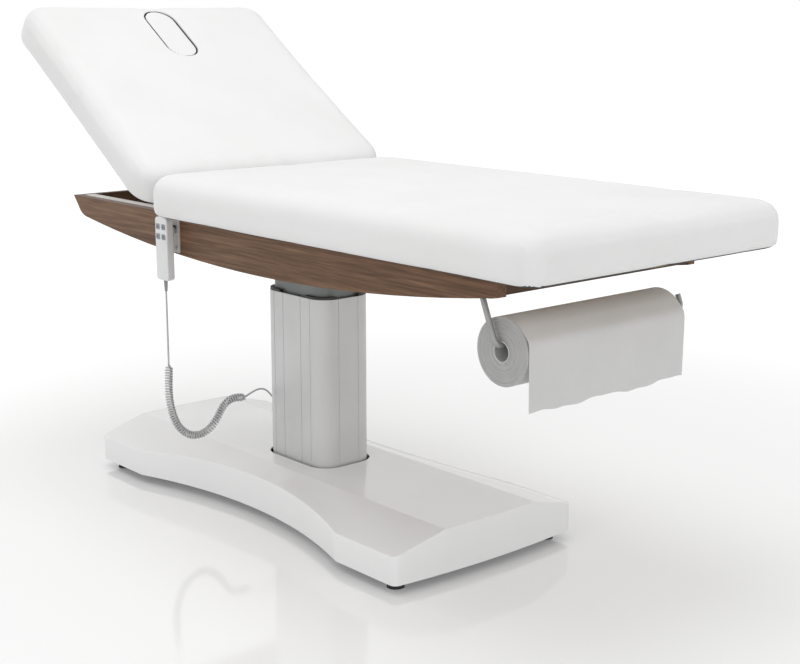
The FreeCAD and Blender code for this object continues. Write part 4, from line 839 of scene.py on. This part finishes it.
shape = bmesh.new()
side_radius = (SIDE_X ** 2 + WAIST_DEPTH ** 2) / (2 * WAIST_DEPTH)
end_radius = (SIDE_Y ** 2 + BOW ** 2) / (2 * BOW)
side_turn = 2 * math.asin(SIDE_X / side_radius)
end_turn = 2 * math.asin(SIDE_Y / end_radius)
chains = []
for side in (-1, 1):
    chains.append(arc_from(shape, (side * SIDE_X, side * SIDE_Y),
                           (0, side * (WAIST_Y + side_radius)), -side_turn, 40))
    chains.append(arc_from(shape, (-side * END_X, side * SIDE_Y),
                           (-side * (BOW_X - end_radius), 0), end_turn, 16))
for (_, last), (first, _) in zip(chains, chains[1:] + chains[:1]):
    shape.edges.new((last, first))
bmesh.ops.translate(shape, vec=(BASE_X, 0, 0), verts=shape.verts)
plan = bmesh.ops.contextual_create(shape, geom=shape.edges[:])["faces"][0]
raise_face(shape, plan, 0.110)
print("plan of the base:", len(plan.verts), "points, sides of radius %.2f m" % side_radius)

# %% [markdown]
# ### Slopes and ridges
# The block is taller than the cover, so three cuts bring it down: a level one for the flat middle
# and a slanting one for each side. After each cut the open rim is closed again. Then the upright
# corners are rounded, and last the ridges, which are all the edges that bend by more than a few
# degrees.
# %% Slopes and ridges
def split(shape, place, normal, dist, clear=False):
    """Cut a whole bmesh along a plane."""
    bmesh.ops.bisect_plane(shape, geom=shape.verts[:] + shape.edges[:] + shape.faces[:], dist=dist,
                           plane_co=place, plane_no=normal, clear_outer=clear)


slope = Vector((0, TOP_Z - EDGE_Z, SIDE_Y - FLAT_Y)).normalized()
cuts = [((0, 0, TOP_Z), (0, 0, 1)), ((0, FLAT_Y, TOP_Z), (0, slope.y, slope.z)),
        ((0, -FLAT_Y, TOP_Z), (0, -slope.y, slope.z))]
for place, normal in cuts:
    split(shape, place, normal, 1e-6, clear=True)
    rim = [edge for edge in shape.edges if edge.is_boundary]
    bmesh.ops.contextual_create(shape, geom=rim)
bmesh.ops.remove_doubles(shape, verts=shape.verts, dist=1e-5)
corners = [edge for edge in shape.edges
           if is_upright(edge) and edge.calc_face_angle(0) > math.radians(45)]
round_edges(shape, corners, 0.014, 5)
ridges = [edge for edge in shape.edges if not is_upright(edge)
          and middle_of(edge).z > RIM_Z + 0.001 and edge.calc_face_angle(0) > math.radians(8)]
round_edges(shape, ridges, 0.004, 3, clamp=True)
print("base cover:", len(shape.verts), "points,", len(ridges), "ridges")

# %% [markdown]
# ### Hollowing the cover
# The cover is a thin shell with a rounded slot for the column. Booleans are safest on a closed
# solid, so the slot is cut first. Then the underside and the slot's wall are taken away, and
# Solidify gives what is left a wall. Two splits through the middle keep the wide flat face from
# being one large face with many corners.
# %% Hollowing the cover
SLOT_HALF_X, SLOT_HALF_Y, SLOT_CORNER = 0.127, 0.088, 0.055
CLOSE = 0.0001

bmesh.ops.remove_doubles(shape, verts=shape.verts, dist=2e-4)
for normal in ((1, 0, 0), (0, 1, 0)):
    split(shape, (BASE_X, 0, 0), normal, 1e-5)
base_cover = finish_piece(shape, "base_shell", sharp=35)
tools = bmesh.new()
block(tools, (BASE_X - SLOT_HALF_X, -SLOT_HALF_Y, 0), (BASE_X + SLOT_HALF_X, SLOT_HALF_Y, 0.2))
round_edges(tools, [edge for edge in tools.edges if is_upright(edge)], SLOT_CORNER, 12)
cut_away(base_cover, tools)
shape = bmesh.new()
shape.from_mesh(base_cover.data)
open_faces = []
for face in shape.faces:
    middle = face.calc_center_median()
    in_slot = (abs(middle.x - BASE_X) < SLOT_HALF_X + CLOSE
               and abs(middle.y) < SLOT_HALF_Y + CLOSE and abs(face.normal.z) < 0.5)
    if in_slot or face.normal.z < -0.9 and middle.z < RIM_Z + 0.001:
        open_faces.append(face)
bmesh.ops.delete(shape, geom=open_faces, context="FACES")
shape.to_mesh(base_cover.data)
shape.free()
shell = base_cover.modifiers.new("wall", "SOLIDIFY")
shell.thickness = 0.004
shell.offset = -1
shell.use_even_offset = True
settle(base_cover)
smooth_over(base_cover, 35)
paint(base_cover, "white_moulding")
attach(base_cover, "base")
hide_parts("base_cover")
print("base shell:", len(base_cover.data.polygons), "faces")

# %% [markdown]
# ## The paper roll
# The roll is a long strip wound on a cardboard core. At its ends the windings never line up quite
# evenly, so the end faces get fine steps: the profile is a row of points from core to rim, and it
# is spun round the roll's axis.
# %% Roll
ROLL_X, ROLL_Z, ROLL_HALF = 0.740, 0.576, 0.234
CORE_RADIUS, ROLL_RADIUS = 0.0222, 0.0688
PROFILE_STEPS = 22

shape = bmesh.new()
profile = []
for side in (-1, 1):
    for count in range(PROFILE_STEPS + 1):
        out = count if side < 0 else PROFILE_STEPS - count
        radius = CORE_RADIUS + (ROLL_RADIUS - CORE_RADIUS) * out / PROFILE_STEPS
        stand = 0.0006 * math.sin(out * 2.4) + 0.0004 * math.sin(out * 5.1)
        place = (ROLL_X, side * (ROLL_HALF - 0.001 + stand), ROLL_Z + radius)
        profile.append(shape.verts.new(place))
for first, last in zip(profile, profile[1:] + profile[:1]):
    shape.edges.new((first, last))
bmesh.ops.spin(shape, geom=shape.verts[:] + shape.edges[:], cent=(ROLL_X, 0, ROLL_Z),
               axis=(0, 1, 0), angle=2 * math.pi, steps=72, use_merge=True)
bmesh.ops.remove_doubles(shape, verts=shape.verts, dist=1e-6)
roll = finish_piece(shape, "wound_paper", "paper_white", "roll")
# Painted shade: the roll's end faces get the darker paper.
roll.data.materials.append(finish["paper_ends_painted_shade"])
for face in roll.data.polygons:
    face.material_index = 1 if abs(face.normal.y) > 0.7 else 0
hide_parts("paper_roll")
print("roll:", len(roll.data.polygons), "faces")

# %% [markdown]
# ### The loose end
# The last turn of paper leaves the roll on a slant above its foot side, bends in a soft crease and
# hangs straight down. Its torn edge is a little wavy, and the paper drifts in soft folds that grow
# towards that edge. A smooth curve through a few places in the side view gives the run of the
# paper, and a grid of faces follows it.
# %% Loose end of the paper
SHEET_WIDTH = 0.462
SHEET_DROP = 0.1105
SHEET_STEP = 0.0002
SHEET_SIDE = [(0.0286, 0.0636), (0.0400, 0.0578), (0.0492, 0.0494), (0.0640, 0.0352),
              (0.0702, 0.0240), (0.0704, 0.0040), (0.0703, -0.0500), (0.0703, -SHEET_DROP)]

side_line = line_through([(ROLL_X + out, 0, ROLL_Z + up) for out, up in SHEET_SIDE], 16)
side_places, sheet_length = walk(side_line, SHEET_STEP)
shape = bmesh.new()
bmesh.ops.create_grid(shape, x_segments=110, y_segments=60, size=0.5)
for corner in shape.verts:
    across = corner.co.x * SHEET_WIDTH
    down = round((0.5 - corner.co.y) * sheet_length / SHEET_STEP)
    place = side_places[min(down, len(side_places) - 1)][0]
    share = max(ROLL_Z - place.z, 0) / SHEET_DROP
    fold = (0.0024 * share * math.sin(across * 21 + 0.8)
            + 0.0012 * share * math.sin(across * 55))
    edge = (0.003 * share ** 3 * math.sin(across * 31 + 2.0)
            + 0.0012 * share ** 6 * math.sin(across * 90))
    corner.co = (place.x + fold, across, place.z + edge)
sheet = finish_piece(shape, "hanging_paper", "paper_white", "lift", sharp=180)
thick = sheet.modifiers.new("paper", "SOLIDIFY")
thick.thickness = 0.0004
thick.offset = 0
settle(sheet)
smooth_over(sheet, 50)
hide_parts("paper_sheet")
print("loose paper: %.3f m long" % sheet_length)

# %% [markdown]
# ## Marks on the handset's keys
# Each of the four keys carries a small arrow, moulded a hair proud of it. The left pair tilts the
# backrest and the right pair moves the whole bed. A flat three-sided prism is enough, and it rides
# on its own key.
# %% Key marks
KEYS = ("back_up", "back_down", "bed_up", "bed_down")
for key in KEYS:
    low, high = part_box("button_" + key)
    shape = bmesh.new()
    made = bmesh.ops.create_cone(shape, cap_ends=True, segments=3, radius1=0.0036, radius2=0.0034,
                                 depth=0.0006)["verts"]
    turn = math.radians(90 if key.endswith("up") else -90)
    upright = Matrix.Rotation(math.pi / 2, 3, "X") @ Matrix.Rotation(turn, 3, "Z")
    bmesh.ops.rotate(shape, verts=made, matrix=upright)
    bmesh.ops.translate(shape, verts=made,
                        vec=((low[0] + high[0]) / 2, low[1], (low[2] + high[2]) / 2))
    finish_piece(shape, "mark_" + key, "black_plastic", key + "_key")
print("key marks:", len(KEYS))

# %% [markdown]
# ## Floor and backdrop
# The photograph stands the bed on a white, slightly glossy floor that runs into a white backdrop.
# The floor keeps shadows and a soft reflection near the bed, and far away it turns into plain white
# for the camera and for reflections. A weak glow that the camera alone sees lifts the floor near
# the bed.
# %% Floor and backdrop
FLOOR_SIZE = 40.0
FADE_START, FADE_END = 0.9, 3.4
FLOOR_GLOW = 0.12


def seen_or_mirrored(tree):
    """A ray's own node, and a node that gives 1 for what is seen directly or in a reflection."""
    ray = node(tree, "LightPath")
    return ray, node(tree, "Math", {0: ray.outputs["Is Camera Ray"],
                                    1: ray.outputs["Is Glossy Ray"]}, operation="MAXIMUM")


grid = bmesh.new()
bmesh.ops.create_grid(grid, x_segments=1, y_segments=1, size=FLOOR_SIZE)
floor = bpy.data.objects.new("floor", bpy.data.meshes.new("floor"))
grid.to_mesh(floor.data)
grid.free()
scene.collection.objects.link(floor)
material, tree, shader = blank_material("floor_white", Base_Color=grey(0.85), Roughness=0.07,
                                        Specular_IOR_Level=0.45)
output = tree.nodes["Material Output"]
where = node(tree, "TexCoord").outputs["Object"]
away = node(tree, "VectorMath", {0: where}, operation="LENGTH")
fade = node(tree, "MapRange", {"Value": away.outputs["Value"], "From Min": FADE_START,
                               "From Max": FADE_END}, interpolation_type="SMOOTHSTEP")
ray, seen = seen_or_mirrored(tree)
share = node(tree, "Math", {0: fade.outputs["Result"], 1: seen.outputs["Value"]},
             operation="MULTIPLY")
white = node(tree, "Emission", {"Color": grey(1.0), "Strength": 1.0})
mixed = node(tree, "MixShader", {0: share.outputs["Value"], 1: shader.outputs["BSDF"],
                                 2: white.outputs["Emission"]})
lift = node(tree, "Math", {0: ray.outputs["Is Camera Ray"], 1: FLOOR_GLOW}, operation="MULTIPLY")
glow = node(tree, "Emission", {"Color": grey(1.0), "Strength": lift.outputs["Value"]})
both = node(tree, "AddShader", {0: mixed.outputs["Shader"], 1: glow.outputs["Emission"]})
tree.links.new(both.outputs["Shader"], output.inputs["Surface"])
floor.data.materials.append(material)
print("floor:", 2 * FLOOR_SIZE, "m wide, white beyond", FADE_END, "m")

# %% [markdown]
# ### World
# The world is plain white to the camera, in reflections and through clear things. On the bed it
# shines less brightly, so that the lamps can shape the forms.
# %% World
WORLD_LIGHT = 0.62

world = bpy.data.worlds.new("studio")
scene.world = world
world.use_nodes = True
tree = world.node_tree
ray, seen = seen_or_mirrored(tree)
seen = node(tree, "Math", {0: seen.outputs["Value"], 1: ray.outputs["Is Transmission Ray"]},
            operation="MAXIMUM")
level = node(tree, "MapRange", {"Value": seen.outputs["Value"], "To Min": WORLD_LIGHT,
                                "To Max": 1.0})
tree.links.new(level.outputs["Result"], tree.nodes["Background"].inputs["Strength"])
tree.nodes["Background"].inputs["Color"].default_value = grey(1.0)
scene.view_settings.view_transform = "Standard"
print("world light", WORLD_LIGHT)


# %% [markdown]
# ### Lamps
# A large lamp overhead is the main one. Three weaker ones, at the near side, the foot and the head,
# fill the shadows and brighten the upright faces.
# %% Lamps
def lamp(name, place, target, size, power):
    """A large soft area lamp that faces a point and leaves no disc in the shiny floor."""
    data = bpy.data.lights.new(name, "AREA")
    data.shape = "DISK"
    data.size = size
    data.energy = power
    thing = bpy.data.objects.new(name, data)
    thing.location = place
    gaze = Vector(target) - Vector(place)
    thing.rotation_euler = gaze.to_track_quat("-Z", "Y").to_euler()
    thing.visible_glossy = False
    scene.collection.objects.link(thing)


lamp("lamp_over", (0.2, -0.3, 3.4), (0.0, 0.0, 0.6), 2.2, 29)
lamp("lamp_near", (0.8, -3.6, 1.5), (0.0, 0.0, 0.5), 1.8, 20)
lamp("lamp_foot", (3.8, 0.4, 1.2), (0.2, 0.0, 0.4), 1.6, 18)
lamp("lamp_head", (-2.6, -0.8, 1.3), (-0.2, 0.0, 0.1), 1.2, 9)
